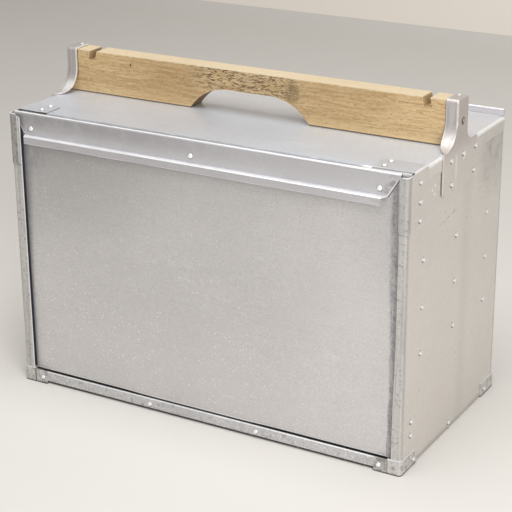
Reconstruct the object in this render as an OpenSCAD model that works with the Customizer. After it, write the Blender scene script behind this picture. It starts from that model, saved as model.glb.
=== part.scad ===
// Aluminium carrying box with a lift-out front panel and a wooden carrying bar.
// Riveted sheet metal. Origin at the bottom centre, front face towards -Y, +Z up.

/* [Case] */
// Width over the two side panels
case_w = 470; // [420:1:520]
// Depth from the post fronts to the rear face
case_d = 240; // [215:1:270]
// Height of the top sheet above the floor
case_h = 315; // [295:1:345]
// Thickness of the sheet
sheet_t = 1; // [0.8:0.1:1.3]
// Outside radius of a fold in the sheet
fold_r = 2.5; // [2:0.1:3]
// Width of the flanges at the rear of the side panels
rear_flange_w = 12; // [10:0.5:14]

/* [Top] */
// Depth of the flanges turned down over the side panels
top_flange_h = 15; // [12:0.5:20]
// Depth of the flange turned down at the front of the top
top_lip_h = 13; // [8:0.5:16]
// Space between the door guides and the front edge of the top
top_gap = 3.5; // [3:0.5:8]
// Height of the standing seam along the rear edge
seam_h = 8.5; // [7:0.5:11]
// Gap between the seam's front leaf and the fold below it
seam_foot_gap = 0.2; // [0.2:0.1:1]

/* [Posts and guides] */
// Width of the front flange of each post
post_w = 12; // [10:0.5:14]
// Radius of the upper inner corner of each post
post_corner_r = 4; // [2:0.5:6]
// Depth of the guide angle's leg on the side panel
guide_leg = 22; // [20:0.5:26]
// Rivet line of the guide angle, behind its front face
guide_rivet_y = 11; // [9:0.5:13]
// Heights of the lower guide rivets
guide_rivet_z = [36, 51.5];
// Space between the guide foot and the back of the post
guide_foot_gap = 0.2; // [0.1:0.1:0.4]

/* [Corner sleeves] */
// Height of the sleeve round the top of each post
sleeve_h = 57; // [54:1:64]
// Depth of the sleeve along the side
sleeve_d = 44; // [38:1:50]
// Width of the sleeve's front leg
sleeve_front_w = 9.5; // [7:0.5:10]
// Radius of the sleeve's lower rear corner
sleeve_r = 10; // [5:0.5:14]
// Radius of the sleeves' lower corners on the front
sleeve_front_r = 3; // [1:0.5:5]
// Reach of the left sleeve's tab over the top
sleeve_tab_left = 37; // [30:1:50]
// Reach of the right sleeve's tab over the top
sleeve_tab_right = 46; // [30:1:50]
// Radius of the tab's inner rear corner
tab_r = 6; // [2:0.5:8]
// Rivet line of a tab, from its inner edge
tab_rivet_x = 10.5; // [7:0.5:13]
// Spacing of the two rivets of a tab
tab_rivet_pitch = 15; // [12:0.5:15]
// Rivet line of the sleeve, behind the front face of the door guide
sleeve_rivet_y = 15; // [13:0.5:17]
// Distances of the sleeve's side rivets below the top
sleeve_rivet_drop = [11.5, 31, 50];
// Gap between the sleeve and the flange of the top
sleeve_gap = 0.5; // [0.3:0.1:1]

/* [Door] */
// Depth of the door over its turned-back edges
door_t = 4; // [3:0.5:5]
// Thickness of the door's sheet
door_sheet = 1; // [0.8:0.1:1.2]
// Space between the back of the posts and the door
door_gap = 4.5; // [3.5:0.1:5.5]
// Space between the back of the grip strip and the guides
door_play = 0.8; // [0.5:0.1:1.2]
// Gap between the door's left edge and the side panel
door_left_gap = 0.3; // [0.3:0.1:1]
// Gap between the door's right edge and the side panel
door_right_gap = 8.3; // [4:0.1:8.5]
// Gap between the bottom rail and the door above it
door_sill_gap = 1.2; // [0.8:0.1:2]
// Distance of the door's upper edge below the top
door_top_drop = 2; // [1:0.1:3]

/* [Grip strip] */
// Thickness of the grip strip
grip_t = 1; // [0.8:0.1:1.2]
// Depth of the strip's front leg below the door's upper edge
grip_front_h = 21; // [18:0.5:26]
// Depth of the strip's rear leg below the door's upper edge
grip_rear_h = 10; // [7:0.5:12]
// How far the finger lip stands out from the strip
grip_reach = 7.9; // [6.5:0.1:9]
// Height of the finger lip
grip_lip_h = 8; // [6:0.5:11]
// Radius of the bends at the finger lip
grip_bend_r = 1.6; // [1.3:0.1:2]
// Gap between the strip's ends and the door's side edges
grip_end_gap = 0.5; // [0.3:0.1:1]
// Width taken off the strip's lower corners
grip_chamfer = 13.5; // [11:0.5:16]
// Width taken off the ends of the finger lip
grip_lip_chamfer = 4; // [2:0.5:6]
// Distance of the strip's outer rivets from its ends
grip_rivet_end = 22; // [20:0.5:30]
// Place of the strip's inner rivet from the door's middle
grip_rivet_mid = -5; // [-20:1:20]
// Distance of the strip's rivets below the door's upper edge
grip_rivet_drop = 14; // [12.5:0.5:16]

/* [Bottom] */
// Height of the bottom rail
rail_h = 12.5; // [12.5:0.5:15]
// Set-back of the bottom rail behind the posts
rail_inset = 1; // [0.5:0.1:1.4]
// Gap between the bottom rail and each post
rail_end_gap = 0.5; // [0.3:0.1:1]
// Spacing of the two rivets along the bottom rail
rail_rivet_pitch = 134; // [100:1:180]
// Length of the leaf behind the rail's hem
rail_leaf_h = 2; // [1.5:0.1:2]
// Lap of the rail's leaf over the edge of the floor
rail_leaf_lap = 1; // [0.6:0.1:1.4]
// Gap between the floor's turned-up edges and their neighbours
floor_lip_gap = 0.5; // [0.3:0.1:1]
// Height of the rivets along the bottom edges above the caps' feet
low_rivet_h = 5.8; // [5.6:0.1:5.9]
// Spacing of the rivets along the rear bottom edge
rear_rivet_pitch = 110; // [80:1:120]
// Heights of the rivets up the rear corners
rear_rivet_z = [45, 115, 185, 255];

/* [Corner caps] */
// Thickness of the corner caps
cap_t = 1.5; // [1.2:0.1:2]
// Height of the corner caps
cap_h = 17; // [16:0.5:20]
// Length of the front caps along the front
cap_front_len = 29.5; // [27:0.5:33]
// Length of the front caps along the side
cap_side_len = 36; // [30:0.5:40]
// Length of the rear caps along the side
cap_rear_side_len = 33; // [28:0.5:38]
// Length of the rear caps along the rear
cap_rear_len = 36; // [30:0.5:40]
// Slant of the end of the front caps' side legs
cap_slant = 6; // [3:0.5:8]
// Width of the front cap beyond the post
cap_block_lap = 2; // [1.8:0.1:2.4]
// Height of the front cap's tab above the bottom rail
cap_tab_rise = 1; // [0.5:0.1:1.5]
// Distance of a cap's rivet from the end of its leg
cap_rivet_end = 8.5; // [7.5:0.5:9]
// Distance of the rivet from the end of a front cap's tab
cap_tab_rivet = 5.5; // [4:0.5:7]
// Reach of a cap's foot from the corner of the case
foot_reach = 22; // [18:0.5:26]

/* [Carrying bar] */
// Thickness of the bar
bar_t = 23; // [19:0.5:28]
// Height of the bar
bar_h = 47.5; // [42:0.5:55]
// Place of the bar's middle behind the case's middle
bar_y = 2; // [-5:0.5:8]
// Length of the flat stretch of the hand cut-out
grip_flat = 52; // [40:1:70]
// Radius of the ends of the hand cut-out
grip_r = 56.5; // [45:0.5:70]
// Height of the hand cut-out
grip_h = 25.3; // [20:0.1:28]
// Place of the hand cut-out along the bar
grip_x = -2.4; // [-10:0.1:10]
// Distance of the hook notches from the ends of the bar
notch_end = 30; // [26:0.5:40]
// Width of the hook notches
notch_w = 8.5; // [7:0.5:11]
// Depth of the hook notches
notch_h = 10; // [7:0.5:13]
// Outward lean of the hook notches over their depth
notch_lean = 2.5; // [0:0.5:4]

/* [Brackets] */
// Thickness of the pressed brackets
bracket_t = 1.5; // [1.2:0.1:2]
// Reach of the bracket's plate in front of the bar's middle
plate_front = 45; // [43:0.5:50]
// Reach of the bracket's plate behind the bar's middle
plate_rear = 38; // [36:0.5:45]
// Depth of the bracket's plate below the top
plate_h = 43; // [38:0.5:50]
// Clearance of the bracket's flanges over the top
plate_rise = 0.2; // [0.1:0.05:0.4]
// Radius of the plate's lower front corner
plate_front_r = 6; // [4:0.5:9]
// Radius of the plate's lower rear corner
plate_rear_r = 14; // [10:0.5:16]
// Radius where the tongue runs into the plate in front
fillet_front_r = 27; // [22:0.5:29]
// Radius where the tongue runs into the plate behind
fillet_rear_r = 12; // [8:0.5:18]
// Radius of the tongue's upper corners
tongue_r = 4; // [3:0.5:6]
// Width of the bracket's flanges round the bar
flange_w = 12; // [9:0.5:16]
// Length over which the front flange tapers away
flange_taper_l = 22; // [17:0.5:22]
// Outer radius of the bends between the tongue and its flanges
bend_r = 2.5; // [1.5:0.1:2.8]
// Radius on which the bend runs out beside the front curve
bend_front_r = 18.9; // [16:0.1:19]
// Radius on which the bend runs out beside the rear curve
bend_rear_r = 8.4; // [7:0.1:8.5]
// Clearance between the bar and the brackets
bar_fit = 0.2; // [0.1:0.05:0.4]
// Places of the upper bracket rivets from the bar's middle
plate_rivet_top_y = [-27, 3, 34];
// Places of the lower bracket rivets from the bar's middle
plate_rivet_low_y = [-24.5, 31.7];
// Depth of the upper bracket rivets below the top
plate_rivet_top_drop = 9.3; // [8:0.1:10]
// Depth of the lower bracket rivets below the top
plate_rivet_low_drop = 34.5; // [30:0.1:35]

/* [Bar fasteners] */
// Hole in the bracket for the screw head
screw_hole_d = 7.5; // [7:0.1:9]
// Head of the screw in the bar's end
screw_head_d = 6.2; // [5:0.1:6.5]
// Height of the screw's head
screw_head_h = 1.6; // [1:0.1:2.2]
// Width of the screw's slot
screw_slot_w = 1; // [0.6:0.1:1.4]
// Shank of the screw
screw_d = 3.5; // [3:0.1:4.2]
// Length of the screw in the wood
screw_len = 25; // [18:0.5:32]
// Height of the screw above the top
screw_z = 25.5; // [20:0.5:30]
// Head of the nail in the bracket's lap
nail_head_d = 4; // [3:0.1:5]
// Height of the nail's head
nail_head_h = 0.8; // [0.5:0.1:1.2]
// Shank of the nail
nail_d = 1.8; // [1.5:0.1:2.4]
// Length of the nail
nail_len = 18; // [12:0.5:20]
// Place of the nail from the bracket's outer face
nail_x = 8.2; // [6:0.1:9.5]
// Place of the nail behind the bar's middle
nail_y = 6; // [4:0.5:8]

/* [Shelves] */
// Height of the lowest row of shelf-rail rivets
shelf_z = 120; // [110:1:125]
// Distance between the rows of shelf rails
shelf_pitch = 50; // [46:1:54]
// Width of the shelf rails' bearing leg
ledge_w = 20; // [18:0.5:24]
// Height of the shelf rails
ledge_h = 13; // [11:0.5:15]
// Distance of the rail's rivets below its bearing face
ledge_rivet_drop = 6; // [5:0.1:7]
// Gap between a shelf rail and the door guide
ledge_front_gap = 0.7; // [0.5:0.1:3]
// Gap between a shelf rail and the rear panel
ledge_rear_gap = 31.3; // [20:0.1:40]
// Distance of a shelf rail's outer rivets from its ends
ledge_end = 6; // [5:0.5:10]
// Gap between a shelf and the door guides it passes
shelf_side_gap = 1.5; // [1:0.1:2.5]
// Gap between a shelf and the rear panel
shelf_rear_gap = 6; // [4:0.5:10]
// Gap between the front edge of a shelf and the door guides
shelf_front_gap = 8; // [5:0.5:12]
// Depth of the stiffening lips of a shelf
shelf_lip_h = 8; // [5:0.5:10]
// Gap between the shelf's lips and the rails
shelf_lip_gap = 2; // [1:0.1:4]

/* [Rivets] */
// Diameter of a rivet's head
rivet_head_d = 6.5; // [5:0.1:7.5]
// Height of a rivet's head
rivet_head_h = 1.9; // [1.4:0.1:2.4]
// Diameter of a rivet's shank
rivet_d = 3.2; // [2.6:0.1:4]
// Diameter of a rivet's closed end
rivet_tail_d = 4.8; // [4.4:0.1:5.2]
// Height of a rivet's closed end
rivet_tail_h = 0.9; // [0.6:0.1:1]
// Clearance round a shank in its hole
shank_fit = 0.05; // [0.03:0.01:0.1]

/* [Hidden] */
$fn = 64;

// Colours
sheet_colour = [0.76, 0.75, 0.72];
door_colour = [0.71, 0.70, 0.68];
bracket_colour = [0.80, 0.80, 0.79];
rivet_colour = [0.84, 0.83, 0.81];
wood_colour = [0.76, 0.60, 0.38];
steel_colour = [0.55, 0.54, 0.52];

// Faces of the case
half_w = case_w / 2;
half_d = case_d / 2;
inner_x = half_w - sheet_t;
lap_x = half_w + sheet_t;
wall_z = cap_t;
top_under_z = case_h - sheet_t;
side_top_z = case_h - fold_r;
post_back_y = -half_d + sheet_t;
rear_in_y = half_d - sheet_t;
rear_fold_y = rear_in_y - sheet_t;

// The door in its slot
door_front_y = post_back_y + door_gap;
door_back_y = door_front_y + door_t;
grip_front_y = door_front_y - grip_t;
guide_y = door_back_y + grip_t + door_play;
top_front_y = guide_y + sheet_t + top_gap;
rail_top_z = wall_z + rail_h;
door_z = rail_top_z + door_sill_gap;
door_top_z = case_h - door_top_drop;
door_left_x = -inner_x + door_left_gap;
door_w = inner_x - door_right_gap - door_left_x;
door_mid_x = door_left_x + door_w / 2;
grip_half_w = door_w / 2 - grip_end_gap;

// The bottom edge
rail_front_y = -half_d + rail_inset;
rail_half_w = half_w - post_w - rail_end_gap;
floor_front_y = rail_front_y + sheet_t;
floor_rear_y = rear_in_y - fold_r;
guide_foot_z = door_z - sheet_t;
floor_lip_h = guide_foot_z - floor_lip_gap - wall_z;
hem_r = 1.5 * sheet_t;
low_rivet_z = wall_z + low_rivet_h;

// The sleeve and the flange of the top
sleeve_rear_y = -half_d + sleeve_d;
flange_front_y = sleeve_rear_y + sleeve_gap;

// The bar and its brackets
plate_x = lap_x;
bracket_x = plate_x + bracket_t;
bar_half_l = plate_x - bar_fit;
bar_top_z = case_h + bar_h;
tongue_half = bar_t / 2 + bar_fit + bracket_t;
tongue_top_z = bar_top_z + bar_fit + bracket_t;
plate_top_z = case_h + plate_rise + bracket_t;
plate_low_z = case_h - plate_h;
flange_in_x = plate_x - flange_w;

// Shelf rails from the lowest up
ledge_rows = [shelf_z, shelf_z + shelf_pitch, shelf_z + 2 * shelf_pitch];
ledge_y0 = guide_y + guide_leg + ledge_front_gap;
ledge_y1 = rear_in_y - ledge_rear_gap;
ledge_rivet_y = [ledge_y0 + ledge_end, (ledge_y0 + ledge_y1) / 2, ledge_y1 - ledge_end];
ledge_in_x = inner_x - ledge_w;
shelf_half_w = half_w - post_w - shelf_side_gap;
shelf_front_y = guide_y + sheet_t + shelf_front_gap;
shelf_rear_y = rear_fold_y - shelf_rear_gap;

// Rivet places: [y, z] on a side, [x, z] on the front and rear, [x, y] on the top
ledge_spots = [for (z = ledge_rows) for (y = ledge_rivet_y) [y, z]];
sleeve_spots = [for (d = sleeve_rivet_drop) [guide_y + sleeve_rivet_y, case_h - d]];
guide_spots = [for (z = guide_rivet_z) [guide_y + guide_rivet_y, z]];
plate_spots = concat(
  [for (y = plate_rivet_top_y) [bar_y + y, case_h - plate_rivet_top_drop]],
  [for (y = plate_rivet_low_y) [bar_y + y, case_h - plate_rivet_low_drop]]);
floor_side_spots = [[0, low_rivet_z]];
cap_side_spots = [
  [-half_d + cap_side_len - cap_rivet_end, low_rivet_z],
  [half_d - cap_rear_side_len + cap_rivet_end, low_rivet_z]];
cap_front_spots = [for (s = [-1, 1]) [s * (half_w - cap_front_len + cap_tab_rivet), low_rivet_z]];
cap_rear_spots = [for (s = [-1, 1]) [s * (half_w - cap_rear_len + cap_rivet_end), low_rivet_z]];
rail_spots = [for (s = [-1, 1]) [s * rail_rivet_pitch / 2, low_rivet_z]];
floor_rear_spots = [for (i = [-1:1]) [i * rear_rivet_pitch, low_rivet_z]];
seam_spots = [for (s = [-1, 1]) for (z = rear_rivet_z) [s * (half_w - rear_flange_w / 2), z]];
side_spots = concat(ledge_spots, sleeve_spots, guide_spots, plate_spots, floor_side_spots, cap_side_spots);
rear_spots = concat(cap_rear_spots, floor_rear_spots, seam_spots);
tab_mid_y = (top_front_y + sleeve_rear_y) / 2;
grip_rivet_x = [grip_rivet_end - grip_half_w, grip_rivet_mid, grip_half_w - grip_rivet_end];
grip_spots = [for (x = grip_rivet_x) [door_mid_x + x, door_top_z - grip_rivet_drop]];

// How far a cutting shape runs past what it cuts, and a fold's leg runs into its sheet
over = 1;
fold_run = 15;
drill_l = 50;

function tab_spots(reach) =
  [for (s = [-1, 1]) [half_w - reach + tab_rivet_x, tab_mid_y + s * tab_rivet_pitch / 2]];

// Sections drawn flat and drawn out along one axis
module along_x(x0, x1) translate([x0, 0, 0]) rotate([90, 0, 90]) linear_extrude(x1 - x0) children();
module along_y(y0, y1) translate([0, y1, 0]) rotate([90, 0, 0]) linear_extrude(y1 - y0) children();
module along_z(z0, z1) translate([0, 0, z0]) linear_extrude(z1 - z0) children();

// A left piece is the mirror image of the right one
module handed(left) {
  if (left) mirror([1, 0, 0]) children();
  else children();
}

// Rectangle to the left of and above the origin, with that corner rounded
module rounded_corner(a, b, r) {
  translate([-a, r]) square([a, b - r]);
  translate([-a, 0]) square([a - r, b]);
  if (r > 0) translate([-r, r]) circle(r);
}

// Section of a sheet folded once: one leg along -x, the other along +y, outer corner at the origin
module fold(a, b, t = sheet_t, r = fold_r) {
  difference() {
    rounded_corner(a, b, r);
    translate([-t, t]) rounded_corner(a, b, r - t);
  }
}

// Section of a sheet's edge folded back on itself round another sheet, top centre at the origin
module hem(leaf) {
  translate([0, -hem_r]) intersection() {
    difference() {
      circle(hem_r);
      circle(hem_r - sheet_t);
    }
    translate([-hem_r, 0]) square([2 * hem_r, hem_r]);
  }
  translate([-hem_r, -hem_r - leaf]) square([sheet_t, leaf]);
}

// What a round takes off a square corner at the origin
module corner_waste(r) {
  difference() {
    square(r);
    translate([r, r]) circle(r);
  }
}

// Rivet along +z, its head's seat at the origin, closing a stack of the given thickness
module rivet(grip) {
  dome_r = (pow(rivet_head_d / 2, 2) + pow(rivet_head_h, 2)) / (2 * rivet_head_h);
  rotate_extrude() {
    intersection() {
      translate([0, rivet_head_h - dome_r]) circle(dome_r);
      square([rivet_head_d / 2, rivet_head_h]);
    }
    translate([0, -grip]) square([rivet_d / 2, grip]);
    translate([0, -grip - rivet_tail_h]) square([rivet_tail_d / 2, rivet_tail_h]);
  }
}

// Hole for a rivet through every layer near the face
module rivet_hole() cylinder(h = drill_l, d = rivet_d + 2 * shank_fit, center = true);

// Children at rivet places, their +z pointing out of that face
module at_side(spots, x = half_w) for (p = spots) translate([x, p[0], p[1]]) rotate([0, 90, 0]) children();
module at_front(spots, y) for (p = spots) translate([p[0], y, p[1]]) rotate([90, 0, 0]) children();
module at_rear(spots, y = half_d) for (p = spots) translate([p[0], y, p[1]]) rotate([-90, 0, 0]) children();
module at_top(spots, z = case_h) for (p = spots) translate([p[0], p[1], z]) children();

// Side panel: the front edge is folded in as the door post, the rear edge as a flange
module side_panel(left) color(sheet_colour) handed(left) difference() {
  along_z(wall_z, side_top_z) {
    translate([half_w, -half_d]) fold(post_w, half_d + rear_in_y - fold_r);
    translate([half_w, rear_in_y]) mirror([0, 1]) fold(rear_flange_w, rear_flange_w);
  }
  along_y(-half_d - over, post_back_y + over) translate([half_w - post_w, side_top_z]) mirror([0, 1])
    corner_waste(post_corner_r);
  at_side(side_spots) rivet_hole();
  at_rear([for (p = seam_spots) if (p[0] > 0) p]) rivet_hole();
}

// Rear panel: flat, with its upper edge hemmed over the flange of the top
module rear_panel() color(sheet_colour) difference() {
  along_x(-half_w, half_w) {
    translate([rear_in_y, wall_z]) square([sheet_t, case_h + seam_h - hem_r - wall_z]);
    translate([half_d - hem_r, case_h + seam_h]) hem(seam_h - hem_r - fold_r + sheet_t - seam_foot_gap);
  }
  at_rear(rear_spots) rivet_hole();
}

// Top panel: flanges turned down over the sides and at the front, and up into the rear seam
module top_panel() color(sheet_colour) difference() {
  union() {
    translate([-half_w + fold_r, top_front_y + fold_r, top_under_z])
      cube([case_w - 2 * fold_r, floor_rear_y - top_front_y - fold_r, sheet_t]);
    for (left = [false, true]) handed(left) along_y(flange_front_y, rear_in_y)
      translate([lap_x, case_h]) mirror([0, 1]) fold(fold_run, top_flange_h);
    along_x(-inner_x + fold_r, inner_x - fold_r)
      translate([top_front_y, case_h]) mirror([0, 1]) mirror([1, 0]) fold(fold_run, top_lip_h);
    along_x(-half_w + fold_r, half_w - fold_r)
      translate([rear_in_y, top_under_z]) fold(fold_run, seam_h + sheet_t - hem_r);
  }
  for (left = [false, true]) handed(left) {
    at_side(plate_spots) rivet_hole();
    at_top(tab_spots(left ? sleeve_tab_left : sleeve_tab_right)) rivet_hole();
  }
}

// Floor panel: edges turned up inside the walls and behind the bottom rail
module floor_panel() color(sheet_colour) difference() {
  union() {
    translate([-inner_x + fold_r, floor_front_y + fold_r, wall_z])
      cube([2 * (inner_x - fold_r), floor_rear_y - floor_front_y - fold_r, sheet_t]);
    for (left = [false, true]) handed(left)
      along_y(floor_front_y + fold_r, floor_rear_y - floor_lip_gap)
        translate([inner_x, wall_z]) fold(fold_run, floor_lip_h);
    along_x(-rail_half_w, rail_half_w)
      translate([floor_front_y, wall_z]) mirror([1, 0])
        fold(fold_run, rail_h - hem_r - rail_leaf_h + rail_leaf_lap);
    along_x(-half_w + rear_flange_w + floor_lip_gap, half_w - rear_flange_w - floor_lip_gap)
      translate([rear_in_y, wall_z]) fold(fold_run, floor_lip_h);
  }
  for (left = [false, true]) handed(left) at_side(concat(floor_side_spots, cap_side_spots)) rivet_hole();
  at_front(concat(rail_spots, cap_front_spots), floor_front_y) rivet_hole();
  at_rear(concat(cap_rear_spots, floor_rear_spots)) rivet_hole();
}

// Bottom rail: a strip between the posts, hemmed over the floor's front edge
module bottom_rail() color(sheet_colour) difference() {
  along_x(-rail_half_w, rail_half_w) {
    translate([rail_front_y, wall_z]) square([sheet_t, rail_h - hem_r]);
    translate([rail_front_y + hem_r, rail_top_z]) mirror([1, 0]) hem(rail_leaf_h);
  }
  at_front(concat(rail_spots, cap_front_spots), rail_front_y) rivet_hole();
}

// Door guide: an angle inside the side panel, its foot bent forward to carry the door
module door_guide(left) color(sheet_colour) handed(left) difference() {
  union() {
    along_z(guide_foot_z, side_top_z)
      translate([inner_x, guide_y]) fold(post_w - sheet_t, guide_leg);
    translate([half_w - post_w, post_back_y + guide_foot_gap, guide_foot_z])
      cube([post_w - sheet_t - fold_r, guide_y + sheet_t - post_back_y - guide_foot_gap, sheet_t]);
  }
  at_side(concat(sleeve_spots, guide_spots)) rivet_hole();
}

// Corner sleeve: wrapped round the top of the post, with a tab folded over the top
module corner_sleeve(left) {
  reach = left ? sleeve_tab_left : sleeve_tab_right;
  low_z = case_h - sleeve_h;
  color(sheet_colour) handed(left) difference() {
    union() {
      along_z(low_z, case_h) translate([lap_x, -half_d - sheet_t])
        fold(sleeve_front_w + sheet_t, sleeve_d + sheet_t, sheet_t, fold_r + sheet_t);
      along_y(top_front_y, sleeve_rear_y) translate([lap_x, case_h + sheet_t]) mirror([0, 1])
        fold(reach + sheet_t, fold_run);
    }
    along_y(top_front_y, sleeve_rear_y + over) translate([lap_x, case_h + sheet_t]) mirror([1, 0])
      mirror([0, 1]) corner_waste(fold_r);
    along_x(half_w - over, lap_x + over)
      translate([sleeve_rear_y, low_z]) mirror([1, 0]) corner_waste(sleeve_r);
    along_y(-half_d - sheet_t - over, -half_d + over) translate([half_w - sleeve_front_w, 0]) {
      translate([0, case_h]) mirror([0, 1]) corner_waste(post_corner_r);
      translate([0, low_z]) corner_waste(sleeve_front_r);
    }
    along_z(case_h - over, case_h + sheet_t + over)
      translate([half_w - reach, sleeve_rear_y]) mirror([0, 1]) corner_waste(tab_r);
    at_side(sleeve_spots) rivet_hole();
    at_top(tab_spots(reach)) rivet_hole();
  }
}

// Foot of a corner cap: the corner of the cap's own outline, cut across
module cap_foot(y) along_z(0, cap_t) intersection() {
  children();
  translate([half_w, y]) rotate(45) square(2 * foot_reach, center = true);
}

// Front corner cap: a block over the post's foot, a side leg, a tab set back on the rail and a foot
module front_cap(left) {
  block_x = half_w - post_w - cap_block_lap;
  tab_x = half_w - cap_front_len;
  tab_h = rail_h + cap_tab_rise;
  end_y = -half_d + cap_side_len;
  corner_r = fold_r + cap_t;
  color(sheet_colour) handed(left) difference() {
    union() {
      along_z(0, cap_h) translate([half_w + cap_t, -half_d - cap_t])
        fold(half_w + cap_t - block_x, cap_side_len + cap_t, cap_t, corner_r);
      translate([block_x, -half_d - cap_t, wall_z])
        cube([cap_block_lap - rail_end_gap, cap_t + rail_inset, cap_h - wall_z]);
      translate([tab_x, rail_front_y - cap_t, wall_z]) cube([block_x + cap_t - tab_x, cap_t, tab_h]);
      cap_foot(-half_d) translate([half_w + cap_t, -half_d - cap_t])
        rounded_corner(cap_front_len + cap_t, cap_side_len, corner_r);
    }
    along_x(half_w - over, half_w + cap_t + over)
      polygon([[end_y, cap_t], [end_y + over, cap_t], [end_y + over, cap_h + over],
               [end_y - cap_slant, cap_h + over]]);
    at_side(cap_side_spots) rivet_hole();
    at_front(cap_front_spots, rail_front_y) rivet_hole();
  }
}

// Rear corner cap: legs on the side and on the rear panel, and a foot
module rear_cap(left) color(sheet_colour) handed(left) difference() {
  union() {
    along_z(0, cap_h) translate([half_w + cap_t, half_d + cap_t]) mirror([0, 1])
      fold(cap_rear_len + cap_t, cap_rear_side_len + cap_t, cap_t, cap_t);
    cap_foot(half_d) translate([half_w + cap_t, half_d + cap_t]) mirror([0, 1])
      rounded_corner(cap_rear_len + cap_t, cap_rear_side_len + cap_t, cap_t);
  }
  at_side(cap_side_spots) rivet_hole();
  at_rear(cap_rear_spots) rivet_hole();
}

// Outline of the bracket's tongue and the curves into its plate, drawn in by the inset
module tongue_outline(inset) {
  half = tongue_half - inset;
  top = tongue_top_z - plate_top_z - inset;
  difference() {
    translate([-half, -fold_run]) square([2 * half, top + fold_run]);
    for (s = [0, 1]) mirror([s, 0]) translate([half, top]) mirror([1, 0]) mirror([0, 1])
      corner_waste(tongue_r - inset);
  }
  for (side = [[-1, fillet_front_r], [1, fillet_rear_r]]) scale([side[0], 1]) difference() {
    translate([tongue_half - 2 * bracket_t, -fold_run])
      square([side[1] + 2 * bracket_t, side[1] + fold_run]);
    translate([tongue_half + side[1], side[1]]) circle(side[1] + inset);
  }
}

// Plate of the bracket below the top edge of the case
module plate_outline() {
  difference() {
    translate([-plate_front, plate_low_z - plate_top_z])
      square([plate_front + plate_rear, plate_top_z - plate_low_z]);
    translate([-plate_front, plate_low_z - plate_top_z]) corner_waste(plate_front_r);
    translate([plate_rear, plate_low_z - plate_top_z]) mirror([1, 0]) corner_waste(plate_rear_r);
  }
}

// Width of the bracket's flanges, seen from above: full round the bar, tapering away to a toe
module flange_width() {
  for (side = [[0, fillet_rear_r, fillet_rear_r], [1, fillet_front_r, flange_taper_l]]) mirror([0, side[0]]) {
    full = tongue_half + side[1] - side[2];
    taper_r = (pow(side[2], 2) + pow(flange_w, 2)) / (2 * flange_w);
    translate([flange_in_x, 0]) square([bracket_x - flange_in_x, full]);
    intersection() {
      translate([flange_in_x + taper_r, full]) circle(taper_r);
      translate([flange_in_x, full]) square([bracket_x - flange_in_x, side[2]]);
    }
  }
}

// Ring about the bar's direction that rounds an edge of the given radius on the bracket's outer face
module bend_ring(r, outward) rotate([0, 90, 0]) rotate_extrude()
  translate([r, bracket_x]) mirror([0, 1]) mirror([outward, 0]) corner_waste(bend_r);

// What the bends take off the tongue's outer edges, running out beside the curves into the plate
module bend_waste() {
  corner_y = tongue_half - tongue_r;
  corner_z = tongue_top_z - tongue_r;
  along_y(-corner_y, corner_y) translate([bracket_x, tongue_top_z])
    mirror([1, 0]) mirror([0, 1]) corner_waste(bend_r);
  for (side = [[0, fillet_rear_r, bend_rear_r], [1, fillet_front_r, bend_front_r]]) mirror([0, side[0], 0]) {
    foot_z = plate_top_z + side[1];
    along_z(foot_z, corner_z) translate([bracket_x, tongue_half])
      mirror([1, 0]) mirror([0, 1]) corner_waste(bend_r);
    translate([0, corner_y, corner_z]) intersection() {
      bend_ring(tongue_r, 1);
      cube([bracket_x + over, tongue_r + over, tongue_r + over]);
    }
    translate([0, tongue_half + side[2], foot_z]) bend_ring(side[2], 0);
  }
}

// Bracket: a plate on the side with a tongue up the bar's end, flanged round the bar
module bracket(left) color(bracket_colour) handed(left) difference() {
  union() {
    along_x(plate_x, bracket_x) translate([bar_y, plate_top_z]) {
      tongue_outline(0);
      plate_outline();
    }
    intersection() {
      along_x(flange_in_x, bracket_x) translate([bar_y, plate_top_z]) difference() {
        tongue_outline(0);
        tongue_outline(bracket_t);
      }
      along_z(plate_top_z - bracket_t, tongue_top_z) translate([0, bar_y]) flange_width();
    }
  }
  translate([0, bar_y, 0]) bend_waste();
  at_side(plate_spots) rivet_hole();
  translate([plate_x - over, bar_y, case_h + screw_z]) rotate([0, 90, 0])
    cylinder(h = bracket_t + 2 * over, d = screw_hole_d);
  translate([bracket_x - nail_x, bar_y + nail_y, bar_top_z])
    cylinder(h = nail_len, d = nail_d + 2 * shank_fit);
}

// Carrying bar: a board with a hand cut-out below and two slanted hook notches above,
// the edges of its ends eased to fit the brackets
module carrying_bar() color(wood_colour) difference() {
  along_y(bar_y - bar_t / 2, bar_y + bar_t / 2) difference() {
    translate([-bar_half_l, case_h]) square([2 * bar_half_l, bar_h]);
    translate([grip_x, case_h + grip_h - grip_r]) {
      for (s = [-1, 1]) translate([s * grip_flat / 2, 0]) circle(grip_r);
      translate([-grip_flat / 2, 0]) square([grip_flat, grip_r]);
    }
    for (s = [0, 1]) mirror([s, 0]) translate([bar_half_l - notch_end, bar_top_z])
      polygon([[-notch_w, over], [0, over], [notch_lean, -notch_h], [notch_lean - notch_w, -notch_h]]);
  }
  for (left = [false, true]) handed(left) {
    translate([bar_half_l - screw_len, bar_y, case_h + screw_z]) rotate([0, 90, 0])
      cylinder(h = 2 * screw_len, d = screw_d + 2 * shank_fit);
    translate([bracket_x - nail_x, bar_y + nail_y, tongue_top_z - nail_len])
      cylinder(h = 2 * nail_len, d = nail_d + 2 * shank_fit);
    along_x(flange_in_x - over, bar_half_l + over) translate([bar_y, bar_top_z])
      for (s = [0, 1]) mirror([s, 0]) translate([bar_t / 2, 0]) mirror([1, 0]) mirror([0, 1])
        corner_waste(tongue_r - bracket_t);
  }
}

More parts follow.
